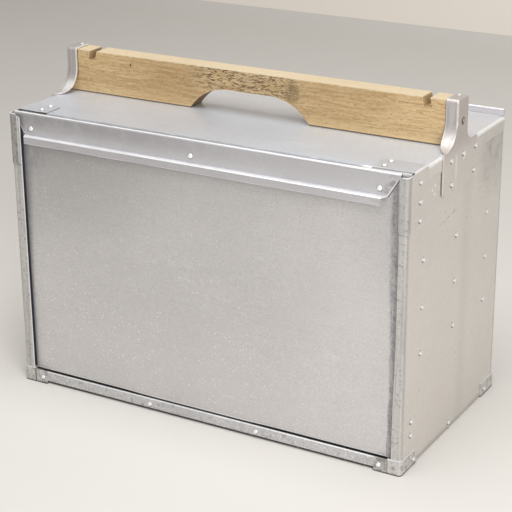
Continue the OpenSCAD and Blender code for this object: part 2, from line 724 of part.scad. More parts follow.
// Round-headed slotted screw through each bracket into the bar's end
module bar_screws() color(steel_colour) for (left = [false, true]) handed(left)
  translate([bar_half_l, bar_y, case_h + screw_z]) rotate([0, 90, 0]) {
    head_r = (pow(screw_head_d / 2, 2) + pow(screw_head_h, 2)) / (2 * screw_head_h);
    difference() {
      rotate_extrude() intersection() {
        translate([0, screw_head_h - head_r]) circle(head_r);
        square([screw_head_d / 2, screw_head_h]);
      }
      translate([-screw_slot_w / 2, -screw_head_d, screw_head_h / 2])
        cube([screw_slot_w, 2 * screw_head_d, screw_head_h]);
    }
    translate([0, 0, shank_fit - screw_len]) cylinder(h = screw_len - shank_fit, d = screw_d);
  }

// Flat-headed nail through each bracket's lap into the top of the bar
module bar_nails() color(steel_colour) for (left = [false, true]) handed(left)
  translate([bracket_x - nail_x, bar_y + nail_y, tongue_top_z]) {
    cylinder(h = nail_head_h, d = nail_head_d);
    translate([0, 0, shank_fit - nail_len]) cylinder(h = nail_len - shank_fit, d = nail_d);
  }

// Shelf rail: an angle on the side panel with its bearing leg uppermost
module ledge(row, left) color(sheet_colour) handed(left) difference() {
  along_y(ledge_y0, ledge_y1)
    translate([inner_x, ledge_rows[row] + ledge_rivet_drop]) mirror([0, 1]) fold(ledge_w, ledge_h);
  at_side(ledge_spots) rivet_hole();
}

// Shelf: a loose sheet on one pair of rails, stiffened by lips turned down in front and behind
module shelf(row) color(sheet_colour) {
  z = ledge_rows[row] + ledge_rivet_drop;
  lip_half = ledge_in_x - shelf_lip_gap;
  translate([-shelf_half_w, shelf_front_y + fold_r, z])
    cube([2 * shelf_half_w, shelf_rear_y - shelf_front_y - 2 * fold_r, sheet_t]);
  along_x(-lip_half, lip_half) {
    translate([shelf_rear_y, z + sheet_t]) mirror([0, 1]) fold(fold_run, shelf_lip_h);
    translate([shelf_front_y, z + sheet_t]) mirror([0, 1]) mirror([1, 0]) fold(fold_run, shelf_lip_h);
  }
}

// Rivets of one side, closing the stacks of sheet they pass through
module ledge_rivets(left) color(rivet_colour) handed(left) at_side(ledge_spots) rivet(2 * sheet_t);
module bracket_rivets(left) color(rivet_colour) handed(left)
  at_side(plate_spots, bracket_x) rivet(2 * sheet_t + bracket_t);
module guide_rivets(left) color(rivet_colour) handed(left) at_side(guide_spots) rivet(2 * sheet_t);
module sleeve_rivets(left) color(rivet_colour) handed(left) {
  at_side(sleeve_spots, lap_x) rivet(3 * sheet_t);
  at_top(tab_spots(left ? sleeve_tab_left : sleeve_tab_right), case_h + sheet_t) rivet(2 * sheet_t);
}

// Rivets through the caps into the floor's turned-up edges
module cap_rivets() color(rivet_colour) {
  for (left = [false, true]) handed(left) at_side(cap_side_spots, half_w + cap_t) rivet(cap_t + 2 * sheet_t);
  at_front(cap_front_spots, rail_front_y - cap_t) rivet(cap_t + 2 * sheet_t);
  at_rear(cap_rear_spots, half_d + cap_t) rivet(cap_t + 2 * sheet_t);
}

// Rivets along the bottom edge between the caps
module floor_rivets() color(rivet_colour) {
  for (left = [false, true]) handed(left) at_side(floor_side_spots) rivet(2 * sheet_t);
  at_front(rail_spots, rail_front_y) rivet(2 * sheet_t);
  at_rear(floor_rear_spots) rivet(2 * sheet_t);
}

// Rivets up the rear corners
module rear_seam_rivets() color(rivet_colour) at_rear(seam_spots) rivet(2 * sheet_t);

// Door: a flat sheet with all four edges turned back
module door_panel() color(door_colour) difference() {
  translate([door_left_x, door_front_y, door_z]) cube([door_w, door_t, door_top_z - door_z]);
  translate([door_left_x + door_sheet, door_front_y + door_sheet, door_z + door_sheet])
    cube([door_w - 2 * door_sheet, door_t, door_top_z - door_z - 2 * door_sheet]);
  at_front(grip_spots, door_front_y) rivet_hole();
}

// Section of the grip strip: rolled over the door's edge, stepped out below as a finger lip
module grip_section() {
  roll_r = door_t / 2 + grip_t;
  step_z = door_top_z - grip_front_h;
  step_run = grip_reach / 2 + grip_t;
  translate([door_front_y + door_t / 2, door_top_z]) intersection() {
    difference() {
      circle(roll_r);
      circle(roll_r - grip_t);
    }
    translate([-roll_r, 0]) square([2 * roll_r, roll_r]);
  }
  translate([door_back_y, door_top_z - grip_rear_h]) square([grip_t, grip_rear_h]);
  translate([door_front_y, step_z - grip_t]) fold(step_run, grip_front_h + grip_t, grip_t, grip_bend_r);
  translate([grip_front_y - grip_reach, step_z]) mirror([1, 0]) mirror([0, 1])
    fold(step_run, grip_lip_h, grip_t, grip_bend_r);
}

// Grip strip along the door's upper edge, cut back at its lower corners
module grip_strip() color(bracket_colour) {
  step_z = door_top_z - grip_front_h;
  low_z = step_z - grip_lip_h - over;
  lip_half = grip_half_w - grip_chamfer;
  lip_y = grip_front_y - grip_reach;
  translate([door_mid_x, 0, 0]) difference() {
    along_x(-grip_half_w, grip_half_w) grip_section();
    for (s = [0, 1]) mirror([s, 0, 0]) {
      along_y(lip_y - over, door_front_y)
        polygon([[grip_half_w + over, door_top_z], [grip_half_w, door_top_z], [lip_half, step_z],
                 [lip_half, low_z], [grip_half_w + over, low_z]]);
      along_z(low_z, step_z + over)
        polygon([[lip_half + over, grip_front_y], [lip_half, grip_front_y],
                 [lip_half - grip_lip_chamfer, lip_y], [lip_half - grip_lip_chamfer, lip_y - over],
                 [lip_half + over, lip_y - over]]);
    }
    translate([-door_mid_x, 0, 0]) at_front(grip_spots, grip_front_y) rivet_hole();
  }
}

// Rivets of the grip strip
module grip_rivets() color(rivet_colour) at_front(grip_spots, grip_front_y) rivet(grip_t + door_sheet);

side_panel(true);  // left_side_panel
side_panel(false);  // right_side_panel
rear_panel();
top_panel();
floor_panel();
bottom_rail();
door_guide(true);  // left_door_guide
door_guide(false);  // right_door_guide
corner_sleeve(true);  // left_corner_sleeve
corner_sleeve(false);  // right_corner_sleeve
front_cap(true);  // front_left_cap
front_cap(false);  // front_right_cap
rear_cap(true);  // rear_left_cap
rear_cap(false);  // rear_right_cap
bracket(true);  // left_bracket
bracket(false);  // right_bracket
carrying_bar();
bar_screws();
bar_nails();
ledge(2, true);  // left_upper_ledge
ledge(1, true);  // left_middle_ledge
ledge(0, true);  // left_lower_ledge
ledge(2, false);  // right_upper_ledge
ledge(1, false);  // right_middle_ledge
ledge(0, false);  // right_lower_ledge
shelf(2);  // upper_shelf
shelf(0);  // lower_shelf
ledge_rivets(true);  // left_ledge_rivets
ledge_rivets(false);  // right_ledge_rivets
bracket_rivets(true);  // left_bracket_rivets
bracket_rivets(false);  // right_bracket_rivets
sleeve_rivets(true);  // left_sleeve_rivets
sleeve_rivets(false);  // right_sleeve_rivets
guide_rivets(true);  // left_guide_rivets
guide_rivets(false);  // right_guide_rivets
cap_rivets();
floor_rivets();
rear_seam_rivets();
door_panel();
grip_strip();
grip_rivets();
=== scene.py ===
import math
import bmesh
import bpy
from mathutils import Matrix, Vector, noise


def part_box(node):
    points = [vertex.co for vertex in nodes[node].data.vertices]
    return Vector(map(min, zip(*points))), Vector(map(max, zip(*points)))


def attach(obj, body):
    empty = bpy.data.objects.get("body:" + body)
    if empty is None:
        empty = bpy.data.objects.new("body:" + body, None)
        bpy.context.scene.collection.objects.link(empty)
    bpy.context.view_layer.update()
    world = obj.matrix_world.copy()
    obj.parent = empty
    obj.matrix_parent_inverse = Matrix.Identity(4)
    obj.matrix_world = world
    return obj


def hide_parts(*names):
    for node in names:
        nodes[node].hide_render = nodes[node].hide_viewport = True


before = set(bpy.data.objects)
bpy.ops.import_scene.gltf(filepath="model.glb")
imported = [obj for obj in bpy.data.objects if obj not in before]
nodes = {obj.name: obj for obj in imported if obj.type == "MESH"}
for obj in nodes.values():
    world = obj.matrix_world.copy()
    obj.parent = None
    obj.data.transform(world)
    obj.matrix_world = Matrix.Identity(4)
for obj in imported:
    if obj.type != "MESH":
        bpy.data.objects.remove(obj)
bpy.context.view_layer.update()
mm = 0.001
doorNodes = ("door_panel", "grip_strip", "grip_rivets")
print("frame:", len(nodes), "nodes")


def mms(*values):   # millimetres as metres
    return tuple(value * mm for value in values)


# mesh helpers
meshing = {"merge": 0.005 * mm, "cut": 0.001 * mm,
           "flatTurn": 0.4, "foldTurn": 50, "sharpTurn": 38}   # turns in degrees


def corners(nodeName):
    low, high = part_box(nodeName)
    return Vector(low), Vector(high)


def ease(value, low, high):
    part = min(max((value - low) / (high - low), 0.0), 1.0)
    return part * part * (3 - 2 * part)


def mergedMesh(nodeName):
    mesh = bmesh.new()
    mesh.from_mesh(nodes[nodeName].data)
    bmesh.ops.remove_doubles(mesh, verts=mesh.verts, dist=meshing["merge"])
    return mesh


def easeEdges(mesh, edges, width, segments=2):
    bmesh.ops.bevel(mesh, geom=edges, offset=width, offset_type="OFFSET", affect="EDGES", segments=segments,
                    profile=0.5, clamp_overlap=True, material=-1)


def easedMesh(nodeName, width, segments=2):   # flat faces joined, folded edges eased
    mesh = mergedMesh(nodeName)
    flat, folded = math.radians(meshing["flatTurn"]), math.radians(meshing["foldTurn"])
    bmesh.ops.dissolve_limit(mesh, angle_limit=flat, verts=mesh.verts, edges=mesh.edges)
    edges = [e for e in mesh.edges if len(e.link_faces) == 2 and e.calc_face_angle() > folded]
    easeEdges(mesh, edges, width, segments)
    return mesh


def sliceAlong(mesh, axis, low, high, pitch):
    normal = Vector((axis == "X", axis == "Y", axis == "Z"))
    count = max(2, round((high - low) / pitch))
    for step in range(1, count):
        point = normal * (low + (high - low) * step / count)
        bmesh.ops.bisect_plane(mesh, geom=mesh.verts[:] + mesh.edges[:] + mesh.faces[:], dist=meshing["cut"],
                               plane_co=point, plane_no=normal)


def addObject(name, data):
    thing = bpy.data.objects.new(name, data)
    bpy.context.scene.collection.objects.link(thing)
    return thing


def makePiece(name, mesh, nodeName, finish):
    data = bpy.data.meshes.new(name)
    mesh.to_mesh(data)
    mesh.free()
    data.polygons.foreach_set("use_smooth", [True] * len(data.polygons))
    data.set_sharp_from_angle(angle=math.radians(meshing["sharpTurn"]))
    data.materials.append(finish)
    piece = addObject(name, data)
    weights = piece.modifiers.new("flatFaces", "WEIGHTED_NORMAL")
    weights.keep_sharp = True
    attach(piece, "door" if nodeName in doorNodes else "case")
    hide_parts(nodeName)


# camera
photoView = {"place": (0.8076, -1.3877, 0.7712), "aim": (-0.0001, 0.0, 0.1533), "roll": -0.437, "lens": 109.7}


def placeCamera(view):
    eye = Vector(view["place"])
    ahead = (Vector(view["aim"]) - eye).normalized()
    right = ahead.cross(Vector((0, 0, 1))).normalized()
    up = right.cross(ahead)
    turn = Matrix((right, up, -ahead)).transposed() @ Matrix.Rotation(math.radians(view["roll"]), 3, "Z")
    data = bpy.data.cameras.new("photoCamera")
    data.lens = view["lens"]
    camera = addObject("photoCamera", data)
    camera.matrix_world = Matrix.Translation(eye) @ turn.to_4x4()
    bpy.context.scene.camera = camera


placeCamera(photoView)
print("camera placed")


# material helpers
def tone(red, green, blue):   # screen values 0-255
    return tuple(((c / 255 + 0.055) / 1.055) ** 2.4 for c in (red, green, blue)) + (1.0,)


def feed(socket, value):
    if isinstance(value, bpy.types.NodeSocket):
        socket.id_data.links.new(value, socket)
    else:
        socket.default_value = value


def addNode(tree, kind, inputs=None, **settings):
    node = tree.nodes.new("ShaderNode" + kind)
    for name, value in settings.items():
        setattr(node, name, value)
    for name, value in (inputs or {}).items():
        feed(node.inputs[name], value)
    return node


def calc(operation, first, second=0.0, clamp=False):   # in the node tree that its values come from
    tree = next(value.id_data for value in (first, second) if isinstance(value, bpy.types.NodeSocket))
    return addNode(tree, "Math", {0: first, 1: second}, operation=operation, use_clamp=clamp).outputs[0]


def plus(first, second, clamp=False):
    return calc("ADD", first, second, clamp)


def minus(first, second, clamp=False):
    return calc("SUBTRACT", first, second, clamp)


def magnitude(value):
    return calc("ABSOLUTE", value)


def chain(operation, values):
    result = values[0]
    for value in values[1:]:
        result = calc(operation, result, value)
    return result


def times(*values):
    return chain("MULTIPLY", values)


def strongest(*values):
    return chain("MAXIMUM", values)


def swing(field, amount):   # a 0-1 field as a change either way
    return times(minus(field, 0.5), amount)


def ramp(value, low, high, start=0.0, end=1.0):
    return addNode(value.id_data, "MapRange",
                   {"Value": value, "From Min": low, "From Max": high, "To Min": start, "To Max": end},
                   interpolation_type="SMOOTHSTEP").outputs[0]


def nearEdge(value, edge, band, end=1.0, start=0.0):   # a ramp across a band measured from an edge
    return ramp(value, edge + band[0], edge + band[1], start, end)


def span(value, edge, bands):   # between a rise and a fall
    return times(nearEdge(value, edge, bands[0]), nearEdge(value, edge, bands[1]))


def onSide(x, left, right):   # one value at the left, another at the right
    return ramp(x, -10 * mm, 10 * mm, left, right)


def lineMask(value, edge, line):   # a soft line, given by its distance from an edge and its half width
    return ramp(magnitude(minus(value, edge + line[0])), line[1], 0.25 * line[1])


def spotMask(first, second, centre, radius):
    away = plus(calc("POWER", minus(first, centre[0]), 2.0), calc("POWER", minus(second, centre[1]), 2.0))
    return ramp(calc("SQRT", away), radius * 1.3, radius * 0.5)


def tallSpot(x, z, centre, radius, squeeze):   # a spot drawn out upwards
    return spotMask(x, times(minus(z, centre[1]), squeeze), (centre[0], 0.0), radius)


def stretched(coords, scale, turn=(0.0, 0.0, 0.0)):
    return addNode(coords.id_data, "Mapping",
                   {"Vector": coords, "Rotation": turn, "Scale": scale}).outputs[0]


def cloudField(coords, scale, detail=2.0, roughness=0.5):
    return addNode(coords.id_data, "TexNoise",
                   {"Vector": coords, "Scale": scale, "Detail": detail, "Roughness": roughness}).outputs[0]


def streakField(coords, scale, detail=3.0, roughness=0.6):
    return cloudField(stretched(coords, scale), 1.0, detail, roughness)


def cellField(coords, scale):
    cells = addNode(coords.id_data, "TexVoronoi", {"Vector": coords, "Scale": scale}).outputs
    picks = addNode(coords.id_data, "SeparateColor", {0: cells["Color"]}).outputs
    return cells["Distance"], picks


def tint(factor, first, second):
    return addNode(factor.id_data, "Mix", {0: factor, 6: first, 7: second}, data_type="RGBA").outputs[2]


def newGroup(name, inputs, outputs):
    tree = bpy.data.node_groups.new(name, "ShaderNodeTree")
    for label, kind in inputs:
        tree.interface.new_socket(name=label, in_out="INPUT", socket_type="NodeSocket" + kind)
    for label, kind in outputs:
        tree.interface.new_socket(name=label, in_out="OUTPUT", socket_type="NodeSocket" + kind)
    return tree, tree.nodes.new("NodeGroupInput").outputs, tree.nodes.new("NodeGroupOutput").inputs


# old sheet aluminium: clouds, grit, pits, flecks, hair scratches, scuffs, grime and rubbed metal; the grime layer
# also paints shade and the rubbed layer also paints highlights
sheetAge = {"cloudScale": 10.0, "fineScale": 70.0, "gritScale": 640.0, "pitScale": 235.0, "fleckScale": 38.0,
            "patchScale": 24.0, "rolled": (22, 900, 900), "hair": (16, 60, 110), "stroke": (20, 190, 190),
            "strokeTurn": (0.5, 0.7, 0.4), "pitColour": tone(238, 237, 235), "fleckColour": tone(104, 100, 96),
            "rubColour": tone(247, 247, 247)}


def pitMask(coords, cloud):
    near, picks = cellField(coords, sheetAge["pitScale"])
    return times(ramp(near, 0.25, 0.12), ramp(picks["Red"], 0.28, 0.75), ramp(cloud, 0.34, 0.54))


def fleckMask(coords):
    near, picks = cellField(coords, sheetAge["fleckScale"])
    return times(ramp(near, 0.036, 0.020), ramp(picks["Green"], 0.72, 0.78), 0.7)


def hairMask(coords):
    hair = magnitude(minus(streakField(coords, sheetAge["hair"], 1.0), 0.5))
    patch = cloudField(coords, sheetAge["patchScale"], 1.0)
    return times(ramp(hair, 0.008, 0.001), ramp(patch, 0.56, 0.66))


def scuffMask(coords, cloud):
    stroke = cloudField(stretched(coords, sheetAge["stroke"], sheetAge["strokeTurn"]), 1.0, 2.0)
    return times(ramp(stroke, 0.66, 0.74), ramp(cloud, 0.48, 0.60))


def agedSheetGroup(age):
    inputs = [("Coords", "Vector"), ("Tone", "Color"), ("Dirt", "Color")]
    inputs += [(label, "Float") for label in ("Metal", "Cloud", "Grit", "Pits", "Scuffs", "Grime", "Rubbed", "Satin")]
    outputs = [("Base Color", "Color"), ("Metallic", "Float"), ("Roughness", "Float"), ("Height", "Float")]
    tree, given, result = newGroup("agedSheet", inputs, outputs)
    coords = given["Coords"]
    cloud = cloudField(coords, age["cloudScale"], 4.0, 0.6)
    fine = cloudField(coords, age["fineScale"], 3.0, 0.6)
    grit = cloudField(coords, age["gritScale"], 2.0, 0.7)
    rolled = streakField(coords, age["rolled"], 2.0, 0.5)
    drift = plus(swing(cloud, 1.7), swing(fine, 0.8))
    grain = plus(swing(grit, 1.6), swing(rolled, 0.5))
    shade = plus(times(drift, given["Cloud"]), 1.0)
    shade = plus(shade, times(grain, given["Grit"]))
    colour = addNode(tree, "VectorMath", {0: given["Tone"], "Scale": shade}, operation="SCALE").outputs[0]
    pit = times(pitMask(coords, cloud), given["Pits"])
    hair = hairMask(coords)
    scuff = times(scuffMask(coords, cloud), given["Scuffs"], 0.3)
    # the grime input and the dirt colour carry dirt and painted shade
    patchy = times(given["Grime"], ramp(fine, 0.28, 0.60, 0.65, 1.0))
    grimeAndShade = plus(patchy, scuff, clamp=True)
    # the rubbed input and its colour carry rubbed wear and painted highlights
    rubbedAndHighlight = times(given["Rubbed"], ramp(fine, 0.25, 0.6, 0.75, 1.0))
    layers = ((pit, age["pitColour"]), (fleckMask(coords), age["fleckColour"]),
              (times(hair, 0.22), age["pitColour"]), (grimeAndShade, given["Dirt"]), (rubbedAndHighlight, age["rubColour"]))
    for mask, paint in layers:
        colour = tint(mask, colour, paint)
    covered = plus(times(rubbedAndHighlight, 0.5), times(grimeAndShade, 0.5), clamp=True)
    metallic = times(given["Metal"], minus(1.0, covered))
    rough = plus(given["Satin"], swing(cloud, 0.20))
    rough = plus(rough, swing(rolled, 0.14))
    rough = plus(rough, times(grimeAndShade, 0.18))
    rough = minus(rough, times(rubbedAndHighlight, 0.10), clamp=True)
    height = plus(times(fine, 0.8), times(rolled, 0.35))
    height = minus(height, plus(pit, times(hair, 0.4)))
    for label, value in zip(result.keys(), (colour, metallic, rough, height)):
        feed(result[label], value)
    return tree


agedSheet = agedSheetGroup(sheetAge)


def newMaterial(name):
    material = bpy.data.materials.new(name)
    material.use_nodes = True
    tree = material.node_tree
    shader = tree.nodes["Principled BSDF"]
    coords = tree.nodes.new("ShaderNodeTexCoord").outputs["Object"]
    place = addNode(tree, "SeparateXYZ", {0: coords}).outputs
    return material, shader, coords, place


def bumped(shader, height, strength, distance):
    bump = addNode(height.id_data, "Bump", {"Height": height, "Strength": strength, "Distance": distance})
    feed(shader.inputs["Normal"], bump.outputs[0])


plainSheet = {"Tone": tone(203, 200, 196), "Dirt": tone(84, 80, 76), "Metal": 0.6, "Cloud": 0.07, "Grit": 0.20,
              "Pits": 0.15, "Scuffs": 0.5, "Grime": 0.0, "Rubbed": 0.0, "Satin": 0.46, "relief": 0.2,
              "reliefDepth": 0.25 * mm}


def sheetMaterial(name, changes, marks=None):
    look = {**plainSheet, **changes}
    material, shader, coords, place = newMaterial(name)
    if marks:
        look.update(marks(coords, place["X"], place["Y"], place["Z"]))
    finish = addNode(coords.id_data, "Group", node_tree=agedSheet)
    feed(finish.inputs["Coords"], coords)
    for label in finish.inputs.keys()[1:]:
        feed(finish.inputs[label], look[label])
    for label in ("Base Color", "Metallic", "Roughness"):
        feed(shader.inputs[label], finish.outputs[label])
    bumped(shader, finish.outputs["Height"], look["relief"], look["reliefDepth"])
    return material


# places that the wear and the painted shade and highlights follow
doorLow, doorHigh = corners("door_panel")
stripLow, stripHigh = corners("grip_strip")
railLow, railHigh = corners("bottom_rail")
sideLow, sideHigh = corners("right_side_panel")
sleeveLow, sleeveHigh = corners("right_corner_sleeve")
plateLow, plateHigh = corners("right_bracket")
topLow, topHigh = corners("top_panel")
barLow, barHigh = corners("carrying_bar")
capHigh = corners("front_right_cap")[1]
rearHigh = corners("rear_panel")[1]
stripForm = {"step": 8 * mm, "endCut": 13.5 * mm, "endRise": 0.4 * mm, "slantX": 0.837, "slantZ": 0.549}
stepZ = stripLow.z + stripForm["step"]
# the right post's inner edge is cut back, most above mid-height; its outer part stays fixed
postTrim = {"low": 1.4 * mm, "high": 3.6 * mm, "from": 30 * mm, "to": 175 * mm, "fixed": 7.5 * mm, "skin": 1.3 * mm,
            "sleeve": 0.7 * mm, "sleeveFixed": 6.2 * mm}


def stripEnd(x, z):   # how far a spot lies outside the slanted ends of the grip strip
    middle = (stripLow.x + stripHigh.x) / 2
    aside = magnitude(minus(x, middle))
    outward = times(minus(aside, stripHigh.x - middle - stripForm["endCut"]), stripForm["slantX"])
    return minus(outward, times(minus(z, stepZ + stripForm["endRise"]), stripForm["slantZ"]))


# door sheet: painted shadow black in the left slot, painted shade and smudges beside it, dirt streaks and painted
# shade down the right channel, painted shade over the upper left, at the grip strip's ends and under its lip, a
# painted highlight on the bottom hem
doorLook = {"Tone": tone(208, 205, 204), "Dirt": tone(68, 70, 82), "Cloud": 0.09, "Grit": 0.30, "Scuffs": 0.12,
            "Satin": 0.48}
doorWear = {"dark": tone(26, 26, 28), "dull": tone(172, 170, 169), "slot": 10.4 * mm, "slotEdge": mms(0.6, -0.6),
            "slotBack": mms(-4.5, -3.5), "beside": mms(4, 13), "besideFrom": 90 * mm, "besideTo": 50 * mm,
            "smudgeX": mms(75, 15), "smudgeZ": mms(-110, -40), "rightEdge": 5.8 * mm, "cloudSway": 9 * mm,
            "streakSway": 5 * mm, "core": mms(4.8, 10.5), "edgeLine": mms(1.8, 0.5), "fringe": mms(6, 16),
            "stripShadow": mms(2.2, 0.8), "shadowZ": mms(-2, 0), "underStrip": mms(-16, -1),
            "pitsX": mms(200, -100), "pitsZ": mms(260, 60), "hem": mms(1.4, 0.4)}
doorShadeGradient = {"leftX": mms(100, -200), "leftZ": mms(120, 280), "middleX": mms(190, 50), "middleEnd": mms(-220, -140),
            "middleZ": mms(20, 160), "rightX": mms(150, 210), "rightZ": mms(160, 260)}


def slotShadowAndSmudge(x, z, cloudy):   # painted shadow in the open slot at the left, painted shade beside it, and smudges at the upper left
    inset = minus(x, doorLow.x + doorWear["slot"])
    slot = times(ramp(inset, *doorWear["slotEdge"]), ramp(inset, *doorWear["slotBack"], 0.45, 1.0))
    reach = ramp(z, doorLow.z + doorWear["besideFrom"], doorHigh.z - doorWear["besideTo"], *doorWear["beside"])
    beside = ramp(inset, reach, 0.0, 0.0, 0.5)
    smudge = times(nearEdge(x, doorLow.x, doorWear["smudgeX"]), nearEdge(z, doorHigh.z, doorWear["smudgeZ"]),
                   ramp(cloudy, 0.46, 0.66, 0.0, 0.35))
    return slot, strongest(beside, smudge)


def channelDirtAndShade(coords, x, z, cloudy):   # a dark band along the right post: painted shade close to its edge, with streaks and specks that the door's travel drags along it
    ragged = streakField(coords, (480, 1, 12), 3.0, 0.65)
    speckled = cloudField(coords, 330.0, 2.0, 0.65)
    rising = ramp(z, doorLow.z, doorHigh.z)
    trim = ramp(z, postTrim["from"], postTrim["to"], postTrim["low"], postTrim["high"])
    away = minus(plus(trim, doorHigh.x - doorWear["rightEdge"]), x)
    loose = plus(away, swing(cloudy, doorWear["cloudSway"]))
    loose = plus(loose, swing(ragged, doorWear["streakSway"]))
    wide = ramp(rising, 0.0, 1.0, *doorWear["core"])
    core = strongest(ramp(loose, wide, times(wide, 0.6), 0.0, 0.60), ramp(away, *doorWear["edgeLine"], 0.0, 0.66))
    core = times(core, ramp(speckled, 0.34, 0.62, 0.70, 1.05), ramp(ragged, 0.34, 0.64, 0.68, 1.12))
    fringe = times(ramp(away, ramp(rising, 0.0, 1.0, *doorWear["fringe"]), 0.0),
                   strongest(ramp(ragged, 0.44, 0.62, 0.05, 0.5), ramp(speckled, 0.54, 0.66, 0.0, 0.5)))
    return strongest(core, fringe)


# painted shade: darker towards the upper left, across the middle and at the upper right
def doorPaintedShade(x, z):
    left = times(ramp(x, *doorShadeGradient["leftX"]), ramp(z, *doorShadeGradient["leftZ"]), 0.85)
    middle = times(ramp(x, *doorShadeGradient["middleX"], 0.0, 0.24), ramp(x, *doorShadeGradient["middleEnd"], 0.3, 1.0),
                   ramp(z, *doorShadeGradient["middleZ"], 0.5, 1.0))
    right = times(ramp(x, *doorShadeGradient["rightX"], 0.0, 0.22), ramp(z, *doorShadeGradient["rightZ"]))
    return strongest(left, middle, right)


def doorMarks(coords, x, y, z):
    cloudy = streakField(coords, (34, 1, 24), 4.0, 0.65)
    slot, beside = slotShadowAndSmudge(x, z, cloudy)
    # painted shadow beside the grip strip's slanted ends, and painted shade under its lip
    shadow = times(ramp(stripEnd(x, z), *doorWear["stripShadow"], 0.0, 0.8),
                   nearEdge(z, stepZ, doorWear["shadowZ"]))
    under = nearEdge(z, stripLow.z, doorWear["underStrip"], 0.12)
    pits = times(ramp(z, *doorWear["pitsZ"], 0.30, 1.0), ramp(x, *doorWear["pitsX"], 0.5, 1.0))
    colour = tint(doorPaintedShade(x, z), doorLook["Tone"], doorWear["dull"])
    # painted shadow: the slot near black
    return {"Tone": tint(slot, colour, doorWear["dark"]), "Pits": pits,
            "Grime": strongest(slot, beside, channelDirtAndShade(coords, x, z, cloudy), shadow, under),
            # painted highlight along the bottom hem
            "Rubbed": nearEdge(z, doorLow.z, doorWear["hem"], 0.5)}


doorSheet = sheetMaterial("doorSheet", doorLook, doorMarks)

# side sheet: dull smeared posts toned darker, partly painted shade, with painted shade in their folds; darker at the
# foot; painted shade under the sleeve and along the bracket; a crease and a scrape, smudges high at the rear; painted
# highlights on three dents on the right side and along the left post's inner edge
sideLook = {"Tone": tone(217, 212, 207), "Cloud": 0.08, "Scuffs": 0.9}
sideWear = {"post": tone(199, 196, 192), "lower": tone(212, 207, 201), "lowerZ": mms(150, 30),
            "front": mms(8.5, 2.6), "foot": mms(7, 0), "seam": mms(-0.5, 1.0), "seamY": mms(26, 4),
            "creaseY": 27.5 * mm, "creaseHalf": 20 * mm, "scrape": mms(-20, 246), "scrapeSlope": 0.14,
            "scrapeLine": mms(0, 1.4), "scrapeReach": mms(0, 30),
            "dents": [mms(-56.6, 289.8), mms(-63.4, 286.3), mms(-57.5, 281.0)], "dentRadius": 1.5 * mm,
            "leftEdge": mms(-11.0, -11.6), "smudgeY": mms(40, 85), "smudgeZ": mms(215, 295)}
plateGap = {"line": mms(-0.5, 0.9), "outer": mms(-4, -2.6), "rise": mms(-1, 4)}
postWear = {"streaks": (330, 160, 9), "specks": 260.0, "fold": mms(-3.4, -1.6), "satin": (0.46, 0.66)}


def bracketLine(x, y, z):   # painted shade of the gap along the front edge of the bracket's plate
    return times(lineMask(y, plateLow.y, plateGap["line"]), nearEdge(magnitude(x), plateHigh.x, plateGap["outer"]),
                 nearEdge(z, plateLow.z, plateGap["rise"], 0.95))


def postSmear(coords):   # upright streaks and specks on the narrow front faces
    streak = streakField(coords, postWear["streaks"])
    speckled = cloudField(coords, postWear["specks"], 3.0, 0.7)
    return strongest(ramp(streak, 0.46, 0.68, 0.0, 0.35), ramp(speckled, 0.50, 0.68, 0.0, 0.45))


def sideScrape(coords, y, z):
    middleY, middleZ = sideWear["scrape"]
    lean = minus(minus(z, middleZ), times(minus(y, middleY), sideWear["scrapeSlope"]))
    return times(lineMask(lean, 0.0, sideWear["scrapeLine"]), lineMask(y, middleY, sideWear["scrapeReach"]),
                 ramp(cloudField(coords, 160.0, 2.0), 0.38, 0.56, 0.0, 0.35))


def sideMarks(coords, x, y, z):
    across = magnitude(x)
    front = nearEdge(y, sideLow.y, sideWear["front"])
    foot = nearEdge(z, sideLow.z, sideWear["foot"], 0.30)
    # painted shade under the sleeve's lower edge, towards the front
    seam = times(lineMask(z, sleeveLow.z, sideWear["seam"]), nearEdge(y, sleeveLow.y, sideWear["seamY"], 0.7))
    crease = ramp(magnitude(minus(y, sideWear["creaseY"])), sideWear["creaseHalf"], 0.0, 0.0, 0.08)
    # painted highlights on three small dents, right side only
    dents = strongest(*(spotMask(y, z, spot, sideWear["dentRadius"]) for spot in sideWear["dents"]))
    # painted highlight along the left post's inner edge
    edge = times(front, onSide(x, 1.0, 0.0), nearEdge(across, sideHigh.x, sideWear["leftEdge"], 0.6))
    # painted shade in the fold between post and side
    fold = times(front, nearEdge(across, sideHigh.x, postWear["fold"], 0.10))
    smudged = times(ramp(y, *sideWear["smudgeY"]), ramp(z, *sideWear["smudgeZ"], 0.0, 1.4),
                    ramp(cloudField(coords, 60.0, 4.0, 0.7), 0.40, 0.66, 0.17, 0.34))
    # the post fronts take a darker tone than the sides, partly painted shade
    colour = tint(ramp(z, *sideWear["lowerZ"]), sideLook["Tone"], sideWear["lower"])
    return {"Tone": tint(front, colour, sideWear["post"]), "Satin": ramp(front, 0.0, 1.0, *postWear["satin"]),
            "Grime": strongest(times(front, postSmear(coords)), fold, foot, seam, crease, sideScrape(coords, y, z),
                               smudged, bracketLine(x, y, z)),
            "Rubbed": strongest(edge, times(dents, 0.9, onSide(x, 0.0, 1.0)))}


sideSheet = sheetMaterial("sideSheet", sideLook, sideMarks)

# top sheet: paler and cooler, flanges like the sides; painted shade over the front fold but a painted highlight at
# its right end, painted highlights on the side folds, painted shade along the bracket
topLook = {"Metal": 0.5, "Cloud": 0.06, "Satin": 0.42}
topWear = {"front": tone(207, 210, 216), "right": tone(213, 219, 228), "rear": tone(212, 211, 212),
           "rightX": mms(20, 160), "flange": mms(-2.2, -1.0), "hem": mms(-12.0, 1.0), "frontY": mms(2.6, 1.0),
           "frontZ": mms(-3.5, -2.5), "brightX": mms(175, 190), "soiledY": mms(35, 60), "seam": mms(-1.6, -0.6),
           "foldX": mms(-2.8, -2.0), "foldZ": mms(-1.1, -0.5)}


